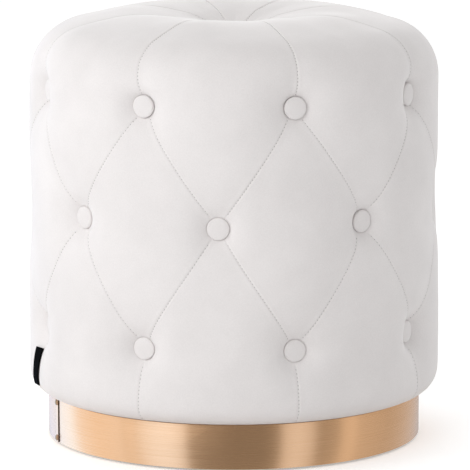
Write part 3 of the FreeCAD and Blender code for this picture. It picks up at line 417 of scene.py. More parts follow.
def foam_ring(name, inner, base, top, edge, node):
    """A foam ring or disc turned from its cut section, with pressed edges."""
    bm = bmesh.new()
    section = [bm.verts.new(at_front(radius, level)) for radius, level in (
        (inner, base), (FOAM_RADIUS, base), (FOAM_RADIUS, top), (inner, top))]
    bm.faces.new(section)
    bmesh.ops.bevel(bm, geom=[section[2]], offset=edge, segments=8, profile=0.5, affect="VERTICES",
                    material=-1)
    bmesh.ops.spin(bm, geom=bm.faces[:], axis=(0, 0, 1), cent=(0, 0, 0), angle=math.tau, steps=96,
                   use_merge=True)
    bmesh.ops.delete(bm, geom=[face for face in bm.faces if len(face.verts) > 4], context="FACES")
    piece = turned_piece(name, bm)
    piece.data.materials.append(cells)
    carried(piece, "foam", node)


foam_ring("side_foam_wrap", FOAM_INNER, FOAM_BASE, FOAM_SPLIT, SIDE_EDGE, "side_foam")
foam_ring("seat_foam_disc", TWINE_HOLE, FOAM_SPLIT + FOAM_GAP, FOAM_TOP, SEAT_EDGE, "seat_foam")

# Cover: off-white short-pile velvet, cut in diamond panels, sewn together and pulled over wadding and foam.
# Buttons draw it in at the crossings of its seams, and its lower edge rolls under and is stapled.
COVER_RADIUS, HEM_LEVEL, SHOULDER_LEVEL = 0.199, 0.0459, 0.3571
HEM_ROLL, SHOULDER_ROLL = 0.0185, 0.053
CROWN_TOP, CROWN_CURVE, CROWN_EDGE = 0.4276, 0.6708, 0.1585
SHOULDER_MIDDLE = COVER_RADIUS - SHOULDER_ROLL
CROWN_RUN = SHOULDER_LEVEL + SHOULDER_ROLL * math.pi / 2
TOP_RUN = CROWN_RUN + SHOULDER_MIDDLE
TURNED_UNDER, NEEDLE_HOLE = 0.100, 0.004
CLOTH_STEP, HEM_STEPS, SHOULDER_STEPS, STEPS_ROUND = 0.0044, 9, 24, 288
BUTTONS_ROUND = 8
BUTTON_PITCH, ROW_TURN = math.tau / BUTTONS_ROUND, math.radians(18)
HALF_PITCH = COVER_RADIUS * BUTTON_PITCH / 2
LOWER_ROW, MIDDLE_ROW, UPPER_ROW = 0.1166, 0.2351, 0.3486
SEAM_SWAYS, SWAY_RUN = (0.6, 0.4, -0.5, 0.7, -0.3, 0.5, -0.6, -1.5), 0.036
LEAST_RADIUS = 0.012


def drawn_on(bm, vert, way):
    """Draws a profile on from its last vertex in a straight line."""
    end = bmesh.ops.extrude_vert_indiv(bm, verts=[vert])
    bmesh.ops.translate(bm, verts=end["verts"], vec=way)
    return end["verts"][0]


def rolled_on(bm, vert, middle, steps):
    """Draws a profile on in a quarter circle about a middle, turning upwards and in."""
    arc = bmesh.ops.spin(bm, geom=[vert], axis=(1, 0, 0), cent=middle, angle=-math.pi / 2, steps=steps)
    return next(item for item in arc["geom_last"] if isinstance(item, bmesh.types.BMVert))


cloth = bmesh.new()
tip = cloth.verts.new(at_front(TURNED_UNDER, HEM_LEVEL))
tip = drawn_on(cloth, tip, at_front(COVER_RADIUS - HEM_ROLL - TURNED_UNDER, 0))
tip = rolled_on(cloth, tip, at_front(COVER_RADIUS - HEM_ROLL, HEM_LEVEL + HEM_ROLL), HEM_STEPS)
tip = drawn_on(cloth, tip, (0, 0, SHOULDER_LEVEL - HEM_LEVEL - HEM_ROLL))
tip = rolled_on(cloth, tip, at_front(SHOULDER_MIDDLE, SHOULDER_LEVEL), SHOULDER_STEPS)
drawn_on(cloth, tip, (0, SHOULDER_MIDDLE - NEEDLE_HOLE, 0))
for edge in cloth.edges[:]:
    if edge.calc_length() > CLOTH_STEP * 2:
        bmesh.ops.subdivide_edges(cloth, edges=[edge], cuts=round(edge.calc_length() / CLOTH_STEP) - 1)
bmesh.ops.spin(cloth, geom=cloth.verts[:] + cloth.edges[:], axis=(0, 0, 1), cent=(0, 0, 0),
               angle=math.tau, steps=STEPS_ROUND, use_merge=True)
cover = turned_piece("velvet_cover_sewn", cloth)


def coordinates(mesh, kind="co"):
    """A mesh's points, or its vertex normals, as rows."""
    rows = np.empty(len(mesh.vertices) * 3, np.float64)
    mesh.vertices.foreach_get(kind, rows)
    return rows.reshape(-1, 3)


def chart(points):
    """Each point's bearing from the front, its radius and its run up the cover's outline."""
    bearing = np.arctan2(points[:, 0], -points[:, 1])
    radius = np.hypot(points[:, 0], points[:, 1])
    over = np.arctan2(points[:, 2] - SHOULDER_LEVEL, radius - SHOULDER_MIDDLE)
    on_shoulder = SHOULDER_LEVEL + SHOULDER_ROLL * np.clip(over, 0, math.pi / 2)
    on_crown = TOP_RUN - radius
    run = np.where(points[:, 2] < SHOULDER_LEVEL, points[:, 2], on_shoulder)
    run = np.where((points[:, 2] > SHOULDER_LEVEL) & (radius < SHOULDER_MIDDLE), on_crown, run)
    return bearing, radius, run


def off_column(bearing, turn):
    """The bearing from the nearest of a row's buttons, and that button's number."""
    number = np.round((bearing - turn) / BUTTON_PITCH)
    return bearing - turn - number * BUTTON_PITCH, number.astype(int) % BUTTONS_ROUND


def sway(number, run):
    """How far a hand-sewn seam strays from its column where it is pulled over the shoulder."""
    return np.radians(SEAM_SWAYS)[number] * np.exp(-((run - SHOULDER_LEVEL - SWAY_RUN) / SWAY_RUN) ** 2)


def seam_offset(bearing, run):
    """The distance from the nearest seam, measured along the cover."""
    aside, number = off_column(bearing, ROW_TURN)
    column = np.abs(aside - sway(number, run) * (run > UPPER_ROW))
    row_gap = np.where(run < MIDDLE_ROW, MIDDLE_ROW - LOWER_ROW, UPPER_ROW - MIDDLE_ROW)
    share = np.abs(run - MIDDLE_ROW) / row_gap
    across = (column / (BUTTON_PITCH / 2) - (1 - share)) * HALF_PITCH
    slant = row_gap / np.hypot(row_gap, HALF_PITCH)
    upright = column * np.clip(TOP_RUN - run, LEAST_RADIUS, COVER_RADIUS)
    return np.where(share < 1, np.abs(across) * slant, upright)


SEAT_REACH, SEAT_DEPTH = 0.0110, 0.0139
DIMPLE_NEAR, DIMPLE_FAR, DIMPLE_END, FOLD_HALF = 0.0125, 0.0165, 0.075, 0.3
TOP_DIPS = ((0.016, 0.110), (0.0085, 0.040))
ROW_PULLS, PULL_RANGE, SPREAD_RANGE = ((0.97,), (1.0,), (1.08,)), (0.93, 1.07), (0.9, 1.1)
FRONT_SLACK, FRONT_LEFT_SLACK = (1.25, 1.3, 1.4), (1.15, 1.2, 1.2)
SIDE_LEAST = 0.12


def funnel(distance, bearing_round, folds, near, far):
    """How much of a button's depth is left at a distance from its seat: folds carry it further out."""
    beyond = np.maximum(distance - SEAT_REACH, 0)
    turned = [np.angle(np.exp(1j * (bearing_round - fold))) for fold in folds]
    weight = np.clip(sum(np.exp(-(turn / FOLD_HALF) ** 2) for turn in turned), 0, 1)
    fade = np.clip(1 - beyond / DIMPLE_END, 0, 1) ** 0.5
    return fade * ((1 - weight) * np.exp(-beyond / near) + weight * np.exp(-beyond / far))


hand = np.random.default_rng(8)
pulls = hand.uniform(*PULL_RANGE, (len(ROW_PULLS), BUTTONS_ROUND)) * np.array(ROW_PULLS)
spreads = hand.uniform(*SPREAD_RANGE, (len(ROW_PULLS), BUTTONS_ROUND))
# the front buttons were tied with more slack round them, so their dimples spread further
spreads[:, 0] *= FRONT_SLACK
spreads[:, -1] *= FRONT_LEFT_SLACK
seam_lean = math.atan2(MIDDLE_ROW - LOWER_ROW, HALF_PITCH)
UPWARD_FOLDS = (seam_lean, math.pi - seam_lean)
DOWNWARD_FOLDS = (-seam_lean, seam_lean - math.pi)
TUFT_ROWS = (
    (LOWER_ROW, ROW_TURN, UPWARD_FOLDS + (-math.pi / 2,)),
    (MIDDLE_ROW, ROW_TURN - BUTTON_PITCH / 2, UPWARD_FOLDS + DOWNWARD_FOLDS),
    (UPPER_ROW, ROW_TURN, DOWNWARD_FOLDS + (math.pi / 2,)))


def tuft_depth(bearing, radius, run):
    """How deep the buttons draw the cover in."""
    depth = np.zeros_like(run)
    for row, (level, turn, folds) in enumerate(TUFT_ROWS):
        aside, number = off_column(bearing, turn)
        aside = aside * np.maximum(radius, SIDE_LEAST)
        distance = np.hypot(aside, run - level)
        round_it = np.arctan2(run - level, aside)
        spread = spreads[row, number]
        share = funnel(distance, round_it, folds, DIMPLE_NEAR * spread, DIMPLE_FAR * spread)
        depth += SEAT_DEPTH * pulls[row, number] * share
    to_top = TOP_RUN - run
    for dip, reach in TOP_DIPS:
        share = np.clip((to_top - SEAT_REACH) / reach, 0, 1)
        depth += dip * np.cos(share * math.pi / 2) ** 2
    return depth


HELD_ROLL, FREE_ROLL = 0.6, 1.2
SHOULDER_TIGHT, SHOULDER_WIDTH = 0.035, 0.05
SEAM_VALLEY, SHOULDER_VALLEY = (0.0003, 0.007), (0.0010, 0.015)
UNEVEN_WAVES = ((0.00035, 5, 40, 0.0), (0.0003, 9, -27, 1.3))
SWELL_LEAST, SWELL_BELOW, SWELL_RUN = 0.0012, 0.0016, 0.22
SEAM_HELD, SEAM_HOLD = 0.002, 0.55
CLOTH_FRAMES, CLOTH_LIMIT = 20, 0.004


def held_fast(bearing, radius, run):
    """True on the button seats and at the rolled hem, where the cover can't move."""
    held = run < HEM_LEVEL + HEM_ROLL * HELD_ROLL
    held = held | (TOP_RUN - run < SEAT_REACH)
    for level, turn, _ in TUFT_ROWS:
        aside = off_column(bearing, turn)[0] * radius
        held = held | (np.hypot(aside, run - level) < SEAT_REACH)
    return held


points = coordinates(cover.data)
outwards = coordinates(cover.data, "normal")
bearing, radius, run = chart(points)
depth = tuft_depth(bearing, radius, run)
seam = seam_offset(bearing, run)
hem_fade = np.clip((run - HEM_LEVEL) / (HEM_ROLL * FREE_ROLL), 0, 1)
on_shoulder = np.exp(-((run - SHOULDER_LEVEL - SHOULDER_TIGHT) / SHOULDER_WIDTH) ** 2) * (run > UPPER_ROW)
valley = SEAM_VALLEY[0] * np.exp(-(seam / SEAM_VALLEY[1]) ** 2)
valley = valley + SHOULDER_VALLEY[0] * on_shoulder * np.exp(-(seam / SHOULDER_VALLEY[1]) ** 2)
uneven = sum(rise * np.sin(around * bearing + upwards * run + shift)
             for rise, around, upwards, shift in UNEVEN_WAVES)
swell = SWELL_LEAST + SWELL_BELOW * np.clip((SHOULDER_LEVEL - run) / SWELL_RUN, 0, 1)
swell = swell * (1 - np.clip(depth / SEAT_DEPTH, 0, 1))
depth = (depth + valley + uneven - swell) * hem_fade
sewn = points - outwards * depth[:, None]
past_middle = np.clip(radius - SHOULDER_MIDDLE, 0, SHOULDER_ROLL)
level_top = SHOULDER_LEVEL + np.sqrt(SHOULDER_ROLL ** 2 - past_middle ** 2)
crown = CROWN_TOP - CROWN_CURVE + np.sqrt(CROWN_CURVE ** 2 - radius ** 2)
sewn[:, 2] += (crown - level_top) * ((run > SHOULDER_LEVEL) & (radius < CROWN_EDGE))
cover.data.vertices.foreach_set("co", sewn.ravel())
cover.data.update()

pins = cover.vertex_groups.new(name="sewn_down")
fast = held_fast(bearing, radius, run)
pins.add(np.flatnonzero(fast).tolist(), 1.0, "REPLACE")
pins.add(np.flatnonzero(~fast & (seam < SEAM_HELD)).tolist(), SEAM_HOLD, "REPLACE")
drape = cover.modifiers.new("stuffing", "CLOTH")
drape.settings.quality = 5
drape.settings.mass = 0.25
drape.settings.tension_stiffness = 18
drape.settings.compression_stiffness = 18
drape.settings.shear_stiffness = 8
drape.settings.bending_stiffness = 0.6
drape.settings.use_pressure = True
drape.settings.uniform_pressure_force = 4
drape.settings.vertex_group_mass = "sewn_down"
drape.settings.pin_stiffness = 4
drape.settings.effector_weights.gravity = 0
drape.collision_settings.use_collision = False
drape.point_cache.frame_start, drape.point_cache.frame_end = 1, CLOTH_FRAMES
for moment in range(1, CLOTH_FRAMES + 1):
    bpy.context.scene.frame_set(moment)
stuffed = cover.evaluated_get(bpy.context.evaluated_depsgraph_get())
moved = coordinates(stuffed.data) - sewn
cover.modifiers.clear()
bpy.context.scene.frame_set(1)
cover.vertex_groups.clear()
far = np.linalg.norm(moved, axis=1)
moved *= np.minimum(1, CLOTH_LIMIT / np.maximum(far, 1e-9))[:, None]
cover.data.vertices.foreach_set("co", (sewn + moved).ravel())
cover.data.update()

finer = cover.modifiers.new("finer", "SUBSURF")
finer.levels = finer.render_levels = 1
fine_mesh = bpy.data.meshes.new_from_object(cover.evaluated_get(bpy.context.evaluated_depsgraph_get()))
cover.modifiers.clear()
coarse_mesh, cover.data = cover.data, fine_mesh
bpy.data.meshes.remove(coarse_mesh)
closed = bmesh.new()
closed.from_mesh(fine_mesh)
bmesh.ops.holes_fill(closed, edges=[edge for edge in closed.edges if edge.is_boundary], sides=0)

SEAM_ZONE, SEAM_DEPTH, SEAM_HALF, SEAM_START = 0.0034, 0.0006, 0.0006, 0.004
RIDGE_HEIGHT, RIDGE_OFF, RIDGE_HALF = 0.0002, 0.0022, 0.0011
RIM_ZONE, RIM_DEPTH, RIM_AT, RIM_WIDTH = 0.017, 0.0006, 0.0108, 0.0008
HEM_CLEAR, TOP_FADE, TOP_LEFT = 0.001, 0.05, 0.25


def button_distance(bearing, radius, run):
    """The distance from the nearest button's middle, measured along the cover."""
    nearest = TOP_RUN - run
    for level, turn, _ in TUFT_ROWS:
        nearest = np.minimum(nearest, np.hypot(off_column(bearing, turn)[0] * radius, run - level))
    return nearest


# the seams and the rims of the seats are narrow, so the cloth is divided more finely there
bearing, radius, run = chart(coordinates(fine_mesh))
worked = (seam_offset(bearing, run) < SEAM_ZONE) | (button_distance(bearing, radius, run) < RIM_ZONE)
worked = worked & (run > HEM_LEVEL + HEM_CLEAR)
closed.verts.ensure_lookup_table()
close_edges = [edge for edge in closed.edges if worked[edge.verts[0].index] and worked[edge.verts[1].index]]
divided = bmesh.ops.subdivide_edges(closed, edges=close_edges, cuts=2, use_grid_fill=True)
fresh = [item for item in divided["geom_inner"] if isinstance(item, bmesh.types.BMVert)]
for _ in range(3):
    bmesh.ops.smooth_vert(closed, verts=fresh, factor=0.5, use_axis_x=True, use_axis_y=True,
                          use_axis_z=True)
closed.to_mesh(fine_mesh)
closed.free()
fine_mesh.name = "velvet_cover_sewn"
fine_mesh.shade_smooth()
points = coordinates(fine_mesh)
outwards = coordinates(fine_mesh, "normal")
bearing, radius, run = chart(points)
seam = seam_offset(bearing, run)
from_button = button_distance(bearing, radius, run)
free_seam = np.clip((from_button - SEAT_REACH) / SEAM_START, 0, 1) * (run > HEM_LEVEL + HEM_CLEAR)
free_seam = free_seam * np.clip((TOP_RUN - run) / TOP_FADE, TOP_LEFT, 1)
groove = SEAM_DEPTH * np.exp(-(seam / SEAM_HALF) ** 2)
groove = groove - RIDGE_HEIGHT * np.exp(-((seam - RIDGE_OFF) / RIDGE_HALF) ** 2)
crevice = RIM_DEPTH * np.clip(1 - (from_button - RIM_AT) / RIM_WIDTH, 0, 1)
points -= outwards * (groove * free_seam + crevice)[:, None]
fine_mesh.vertices.foreach_set("co", points.ravel())
fine_mesh.update()

velvet_nap, nap_in, nap_out = new_group(
    "velvet_nap", [("Scale", "NodeSocketFloat", 1.0)],
    [("Shade", "NodeSocketFloat"), ("Pile", "NodeSocketFloat")])
nap_where = add(velvet_nap, "ShaderNodeTexCoord")
spread_out = add(velvet_nap, "ShaderNodeVectorMath", operation="SCALE")
brushed_marks = add(velvet_nap, "ShaderNodeTexNoise", {"Scale": 16.0, "Detail": 4.0, "Roughness": 0.55})
speckle = add(velvet_nap, "ShaderNodeTexNoise", {"Scale": 750.0, "Detail": 3.0, "Roughness": 0.7})
pile = add(velvet_nap, "ShaderNodeTexNoise", {"Scale": 2200.0, "Detail": 2.0})
shade = add(velvet_nap, "ShaderNodeMix", {0: 0.45}, data_type="FLOAT")
wire(velvet_nap, nap_where, "Object", spread_out, 0)
wire(velvet_nap, nap_in, "Scale", spread_out, "Scale")
for texture in (brushed_marks, speckle, pile):
    wire(velvet_nap, spread_out, 0, texture, "Vector")
wire(velvet_nap, brushed_marks, "Fac", shade, 2)
wire(velvet_nap, speckle, "Fac", shade, 3)
wire(velvet_nap, shade, 0, nap_out, "Shade")
wire(velvet_nap, pile, "Fac", nap_out, "Pile")


def velvet(name, dark, light):
    """Short-pile velvet: a matt cloth with a soft sheen and marks where its pile is brushed."""
    material, tree, shader = finish_named(name, Roughness=0.9, Specular_IOR_Level=0.2, Sheen_Weight=0.35,
                                          Sheen_Roughness=0.45)
    nap = place_group(tree, velvet_nap, {"Scale": 1.0})
    tones = two_tones(tree, dark, light, low=0.3, high=0.7)
    relief = add(tree, "ShaderNodeBump", {"Strength": 0.25, "Distance": 0.0003})
    wire(tree, nap, "Shade", tones, "Fac")
    wire(tree, nap, "Pile", relief, "Height")
    wire(tree, tones, "Color", shader, "Base Color")
    wire(tree, relief, "Normal", shader, "Normal")
    return material


cover_velvet = velvet("off_white_velvet", srgb(223, 219, 218), srgb(236, 232, 231))
fine_mesh.materials.clear()
fine_mesh.materials.append(cover_velvet)
carried(cover, "velvet", "velvet_cover", "wadding")

# Seam thread: polyester thread close to the velvet's own colour, machine sewn along every seam.
# Its stitches are painted a darker grey than the velvet, as painted shade of the small dents where the
# thread goes down, so the seams read as rows of dots.
STITCH_STEP, STITCH_LENGTH, STITCH_WIDTH = 0.0035, 0.0015, 0.0008
DIAMOND_STITCHES, DIAMOND_ENDS = 33, (0.105, 0.895)
SEAM_CLEAR, HEM_TURN, TOP_GATHER = SEAT_REACH + 0.003, 0.004, 0.004
CLEAR_OF_SIDE, CLEAR_OF_SHOULDER, CLEAR_OF_TOP = 0.3, 0.12, 0.6
cover_shape = BVHTree.FromPolygons([tuple(row) for row in coordinates(fine_mesh)],
                                   [tuple(face.vertices) for face in fine_mesh.polygons])


def on_cover(bearing, run):
    """The point of the finished cover at a place on its chart, and the way it faces there."""
    out = Vector((math.sin(bearing), -math.cos(bearing), 0))
    if run < SHOULDER_LEVEL:
        way = out
        start = way * CLEAR_OF_SIDE + Vector((0, 0, run))
    elif run < CROWN_RUN:
        lift = (run - SHOULDER_LEVEL) / SHOULDER_ROLL
        way = out * math.cos(lift) + Vector((0, 0, math.sin(lift)))
        start = out * SHOULDER_MIDDLE + Vector((0, 0, SHOULDER_LEVEL)) + way * CLEAR_OF_SHOULDER
    else:
        way = Vector((0, 0, 1))
        start = out * (TOP_RUN - run) + way * CLEAR_OF_TOP
    spot, faces, _, _ = cover_shape.ray_cast(start, -way)
    return spot, faces


seam_runs = []
for k in range(BUTTONS_ROUND):
    column = ROW_TURN + k * BUTTON_PITCH
    for side in (-1, 1):
        for start, end in ((LOWER_ROW, MIDDLE_ROW), (UPPER_ROW, MIDDLE_ROW)):
            seam_runs.append([(column + side * share * BUTTON_PITCH / 2, start + (end - start) * share)
                              for share in np.linspace(*DIAMOND_ENDS, DIAMOND_STITCHES)])
    to_hem = np.arange(HEM_LEVEL + HEM_TURN, LOWER_ROW - SEAM_CLEAR, STITCH_STEP)
    to_top = np.arange(UPPER_ROW + SEAM_CLEAR, TOP_RUN - SEAM_CLEAR - TOP_GATHER, STITCH_STEP)
    seam_runs.append([(column, stitch_run) for stitch_run in to_hem])
    seam_runs.append([(column + sway(k, stitch_run), stitch_run) for stitch_run in to_top])
thread = bmesh.new()
for seam_run in seam_runs:
    spots = [on_cover(bearing, run) for bearing, run in seam_run]
    one_seam = bmesh.new()
    for (spot, faces), (after, _) in zip(spots, spots[1:]):
        forward = (after - spot).normalized()
        across = faces.cross(forward).normalized()
        stitch = Matrix((forward, across, faces)).transposed().to_4x4()
        size = Matrix.Diagonal((STITCH_LENGTH / 2, STITCH_WIDTH / 2, STITCH_WIDTH / 2, 1))
        bmesh.ops.create_uvsphere(one_seam, u_segments=6, v_segments=4, radius=1.0,
                                  matrix=Matrix.Translation(spot) @ stitch @ size)
    joined(thread, one_seam)
seam_thread = turned_piece("seam_thread", thread)
thread_with_dent_shade, thread_tree, thread_shader = finish_named("seam_thread", Roughness=0.8)
thread_where = add(thread_tree, "ShaderNodeTexCoord")
thread_twist = add(thread_tree, "ShaderNodeTexWave", {"Scale": 900.0, "Distortion": 2.0},
                   bands_direction="DIAGONAL")
# these greys are the thread's colour darkened with painted shade of its dents
thread_and_dent_shade = two_tones(thread_tree, srgb(164, 159, 158), srgb(188, 183, 182))
wire(thread_tree, thread_where, "Object", thread_twist, "Vector")
wire(thread_tree, thread_twist, "Fac", thread_and_dent_shade, "Fac")
wire(thread_tree, thread_and_dent_shade, "Color", thread_shader, "Base Color")
seam_thread.data.materials.append(thread_with_dent_shade)
carried(seam_thread, "velvet")

# Buttons: two-part metal blanks pressed over discs of the same velvet, flat on the face with a round edge.
# Each hangs on its wire eye and sits hard down in its dimple, with the cover risen round its rim.
BUTTON_RADIUS, BUTTON_HEIGHT, BUTTON_WOBBLE = 0.0108, 0.0065, 0.00012
BUTTON_SIDE_SEAT, BUTTON_TOP_SEAT = 0.184, 0.4016
BUTTON_OUTLINE = ((0, 0.86), (0.3, 0.85), (0.6, 0.82), (0.8, 0.77), (0.9, 0.72), (0.955, 0.67),
                  (0.985, 0.6), (0.998, 0.52), (1.0, 0.42), (0.99, 0.2), (0.93, 0.02), (0.8, 0.0),
                  (0.4, 0.0), (0, 0.0))
button_velvet = velvet("button_velvet", srgb(224, 220, 219), srgb(232, 228, 227))


def covered_button(name, place, number):
    """A velvet-covered button turned from its outline and set in its seat."""
    bm = bmesh.new()
    outline = [bm.verts.new((share * BUTTON_RADIUS, 0, rise * BUTTON_HEIGHT))
               for share, rise in BUTTON_OUTLINE]
    chain = [bm.edges.new(pair) for pair in zip(outline, outline[1:])]
    bmesh.ops.spin(bm, geom=outline + chain, axis=(0, 0, 1), cent=(0, 0, 0), angle=math.tau, steps=40,
                   use_merge=True)
    bmesh.ops.remove_doubles(bm, verts=bm.verts, dist=1e-6)
    for vert in bm.verts:
        way = math.atan2(vert.co.y, vert.co.x)
        vert.co.z += BUTTON_WOBBLE * math.sin(2 * way + number) * vert.co.to_2d().length / BUTTON_RADIUS
    bmesh.ops.transform(bm, matrix=place, verts=bm.verts)
    button = turned_piece(name + "_covered", bm)
    button.data.materials.append(button_velvet)
    carried(button, "velvet", name)


for row_name, (level, turn, _) in zip(("lower", "middle", "upper"), TUFT_ROWS):
    for k in range(BUTTONS_ROUND):
        seat = set_outwards(turn + k * BUTTON_PITCH, BUTTON_SIDE_SEAT, level)
        covered_button(f"button_{row_name}_{k + 1}", seat, number=k)
covered_button("button_top", Matrix.Translation((0, 0, BUTTON_TOP_SEAT)), number=3)

# Tag: a small black woven tag, folded double and caught in a lower seam at the left, with a plain face.
# It lies on the velvet and follows the curve of the rolled edge.
TAG_BEARING, TAG_BASE, TAG_TOP = math.radians(-72), 0.0586, 0.0943
TAG_WIDTH, TAG_THICKNESS, TAG_LIFT = 0.013, 0.0008, 0.0006
tag = bmesh.new()
bmesh.ops.create_grid(tag, x_segments=8, y_segments=20, size=0.5)
for vert in tag.verts:
    from_seam, from_base = vert.co.x + 0.5, vert.co.y + 0.5
    spot, faces = on_cover(TAG_BEARING - from_seam * TAG_WIDTH / COVER_RADIUS,
                           TAG_BASE + (TAG_TOP - TAG_BASE) * from_base)
    vert.co = spot + faces * (TAG_THICKNESS + TAG_LIFT * from_seam)
bmesh.ops.recalc_face_normals(tag, faces=tag.faces)
bmesh.ops.solidify(tag, geom=tag.faces[:], thickness=TAG_THICKNESS)
sewn_tag = turned_piece("sewn_tag", tag)
woven, woven_tree, woven_shader = finish_named("woven_black", Roughness=0.95, Specular_IOR_Level=0.02)
woven_where = add(woven_tree, "ShaderNodeTexCoord")
woven_rib = add(woven_tree, "ShaderNodeTexWave", {"Scale": 700.0, "Distortion": 0.6}, bands_direction="Z")
woven_tone = two_tones(woven_tree, srgb(5, 5, 6), srgb(17, 17, 18))
woven_relief = add(woven_tree, "ShaderNodeBump", {"Strength": 0.4, "Distance": 0.0002})
wire(woven_tree, woven_where, "Object", woven_rib, "Vector")
wire(woven_tree, woven_rib, "Fac", woven_tone, "Fac")
wire(woven_tree, woven_rib, "Fac", woven_relief, "Height")
wire(woven_tree, woven_tone, "Color", woven_shader, "Base Color")
wire(woven_tree, woven_relief, "Normal", woven_shader, "Normal")
sewn_tag.data.materials.append(woven)
carried(sewn_tag, "tag_cloth", "label_tag")

# Floor, light and camera: a pale floor under a white surround, a broad soft light from the front left,
# and the camera where the photograph was taken from, a little above the pouf.
# The cards stand round the pouf out of sight, and only the metal strip mirrors them: bright to the left,
# dark in front, and in narrower bars to the right.
FLOOR_REACH, FLOOR_GREY, FLOOR_LIFT = 12, 0.9, 0.36
CARD_RADIUS, CARD_LEVELS, CARD_GLOW = 0.34, (-0.3, 0.5), 3.0
CARD_STOPS = ((-180, 0.7, 0.1), (-140, 0.8, 0.3), (-113, 0.98, 0.8), (-108, 1.12, 0.9), (-93, 1.2, 0.95),
              (-84, 1.12, 0.3), (-70, 1.08, 0.1), (-55, 1.02, 0.2), (-53, 0.86, 0.1), (-51, 0.96, 0.1),
              (-47, 0.98, 0.15), (-46, 0.84, 0.1), (-44.5, 1.0, 0.3), (-36, 1.1, 0.5), (-29, 1.08, 0.5),
              (-23, 0.92, 0.4), (-19.5, 0.4, 0.1), (-13, 0.32, 0.05), (0, 0.29, 0), (14, 0.3, 0),
              (19.5, 0.38, 0), (23, 0.84, 0.2), (29, 0.93, 0.25), (35.5, 0.82, 0.2), (40, 0.45, 0),
              (49, 0.53, 0), (53.5, 0.82, 0), (59, 0.86, 0), (62, 0.7, 0), (84, 0.6, 0), (112, 0.66, 0.15),
              (180, 0.35, 0.1))
COOL_GREEN, COOL_BLUE = 0.45, 1.2
LAMP_SIZE, LAMP_AIM = 1.6, Vector((0, 0, 0.2))
CAMERA_PLACE, CAMERA_DIP = (0.0012, -3.9797, 0.8990), math.radians(10.01)
floor_bm = bmesh.new()
bmesh.ops.create_grid(floor_bm, x_segments=1, y_segments=1, size=FLOOR_REACH)
floor = turned_piece("floor", floor_bm)
floor_paint, floor_tree, floor_shader = finish_named("pale_floor", Roughness=0.9, Specular_IOR_Level=0.0)
floor_shader.inputs["Base Color"].default_value = (FLOOR_GREY, FLOOR_GREY, FLOOR_GREY, 1)
floor_seen = add(floor_tree, "ShaderNodeLightPath")
floor_lift = add(floor_tree, "ShaderNodeMath", {1: FLOOR_LIFT}, operation="MULTIPLY")
wire(floor_tree, floor_seen, "Is Camera Ray", floor_lift, 0)
floor_shader.inputs["Emission Color"].default_value = (1, 1, 1, 1)
wire(floor_tree, floor_lift, 0, floor_shader, "Emission Strength")
floor.data.materials.append(floor_paint)
floor.visible_glossy = False

cards_bm = bmesh.new()
card_ends = [cards_bm.verts.new(at_front(CARD_RADIUS, level)) for level in CARD_LEVELS]
card_edge = cards_bm.edges.new(card_ends)
bmesh.ops.spin(cards_bm, geom=card_ends + [card_edge], axis=(0, 0, 1), cent=(0, 0, 0), angle=math.tau,
               steps=96, use_merge=True)
cards = turned_piece("reflection_cards", cards_bm)
cards_paint = bpy.data.materials.new("card_brightness")
cards_paint.use_nodes = True
cards_tree = cards_paint.node_tree
cards_tree.nodes.clear()
cards_where = add(cards_tree, "ShaderNodeTexCoord")
cards_apart = add(cards_tree, "ShaderNodeSeparateXYZ")
cards_back = add(cards_tree, "ShaderNodeMath", {1: -1.0}, operation="MULTIPLY")
cards_bearing = add(cards_tree, "ShaderNodeMath", operation="ARCTAN2")
cards_share = add(cards_tree, "ShaderNodeMapRange", {"From Min": -math.pi, "From Max": math.pi})
cards_ramp = add(cards_tree, "ShaderNodeValToRGB")
cards_glow = add(cards_tree, "ShaderNodeEmission", {"Strength": CARD_GLOW})
cards_end = add(cards_tree, "ShaderNodeOutputMaterial")
stops = cards_ramp.color_ramp.elements
while len(stops) > 1:
    stops.remove(stops[-1])
for place, (degrees, level, coolness) in enumerate(CARD_STOPS):
    stop = stops[0] if place == 0 else stops.new(degrees / 360 + 0.5)
    stop.position = degrees / 360 + 0.5
    share = level / CARD_GLOW
    stop.color = (share, share * (1 + COOL_GREEN * coolness), share * (1 + COOL_BLUE * coolness), 1)
wire(cards_tree, cards_where, "Object", cards_apart, 0)
wire(cards_tree, cards_apart, "Y", cards_back, 0)
wire(cards_tree, cards_apart, "X", cards_bearing, 0)
wire(cards_tree, cards_back, 0, cards_bearing, 1)
wire(cards_tree, cards_bearing, 0, cards_share, "Value")
wire(cards_tree, cards_share, "Result", cards_ramp, "Fac")
wire(cards_tree, cards_ramp, "Color", cards_glow, "Color")
wire(cards_tree, cards_glow, 0, cards_end, "Surface")
cards.data.materials.append(cards_paint)
cards.visible_camera = cards.visible_diffuse = cards.visible_shadow = cards.visible_transmission = False

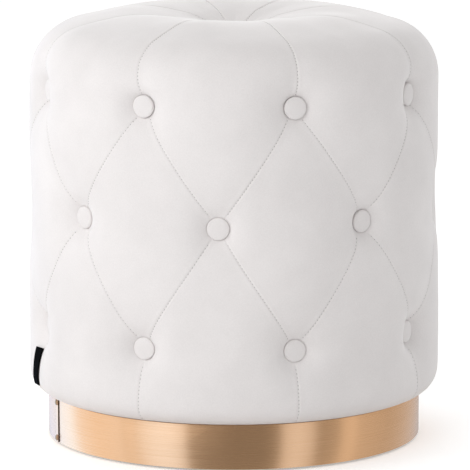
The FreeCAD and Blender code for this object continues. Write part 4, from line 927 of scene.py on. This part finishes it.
world = bpy.data.worlds.new("white_surround")
bpy.context.scene.world = world
world.use_nodes = True
surround = world.node_tree
backdrop = surround.nodes["Background"]
backdrop.inputs["Color"].default_value = (1, 1, 1, 1)
seen = add(surround, "ShaderNodeLightPath")
seen_or_mirrored = add(surround, "ShaderNodeMath", operation="MAXIMUM")
brightness = add(surround, "ShaderNodeMix", {3: 1.0}, data_type="FLOAT")
direction = add(surround, "ShaderNodeTexCoord")
height = add(surround, "ShaderNodeSeparateXYZ")
dome = add(surround, "ShaderNodeMapRange", {"From Max": 0.8, "To Min": 0.95, "To Max": 0.4})
from_behind = add(surround, "ShaderNodeMapRange", {"From Max": 0.7, "To Min": 1.0, "To Max": 2.4})
glow = add(surround, "ShaderNodeMath", operation="MULTIPLY")
wire(surround, direction, "Generated", height, 0)
wire(surround, height, "Z", dome, "Value")
wire(surround, seen, "Is Camera Ray", seen_or_mirrored, 0)
wire(surround, seen, "Is Glossy Ray", seen_or_mirrored, 1)
wire(surround, seen_or_mirrored, 0, brightness, "Factor")
wire(surround, height, "Y", from_behind, "Value")
wire(surround, dome, "Result", glow, 0)
wire(surround, from_behind, "Result", glow, 1)
wire(surround, glow, 0, brightness, 2)
wire(surround, brightness, 0, backdrop, "Strength")


def soft_light(name, spot, watts):
    """A large square lamp turned to the pouf."""
    lamp = bpy.data.lights.new(name, "AREA")
    lamp.shape = "SQUARE"
    lamp.size = LAMP_SIZE
    lamp.energy = watts
    holder = bpy.data.objects.new(name, lamp)
    holder.location = spot
    holder.rotation_euler = (LAMP_AIM - Vector(spot)).to_track_quat("-Z", "Y").to_euler()
    bpy.context.scene.collection.objects.link(holder)


soft_light("left_softbox", spot=(-2.2, -1.1, 1.5), watts=17)
soft_light("front_fill", spot=(-1.5, -3.0, 1.6), watts=23)

camera = bpy.data.cameras.new("camera")
camera.sensor_width = 36
camera.lens = 313.88
camera.clip_end = 60
viewer = bpy.data.objects.new("camera", camera)
viewer.location = CAMERA_PLACE
viewer.rotation_euler = (math.pi / 2 - CAMERA_DIP, 0, 0)
bpy.context.scene.collection.objects.link(viewer)
bpy.context.scene.camera = viewer
bpy.context.scene.view_settings.view_transform = "Standard"
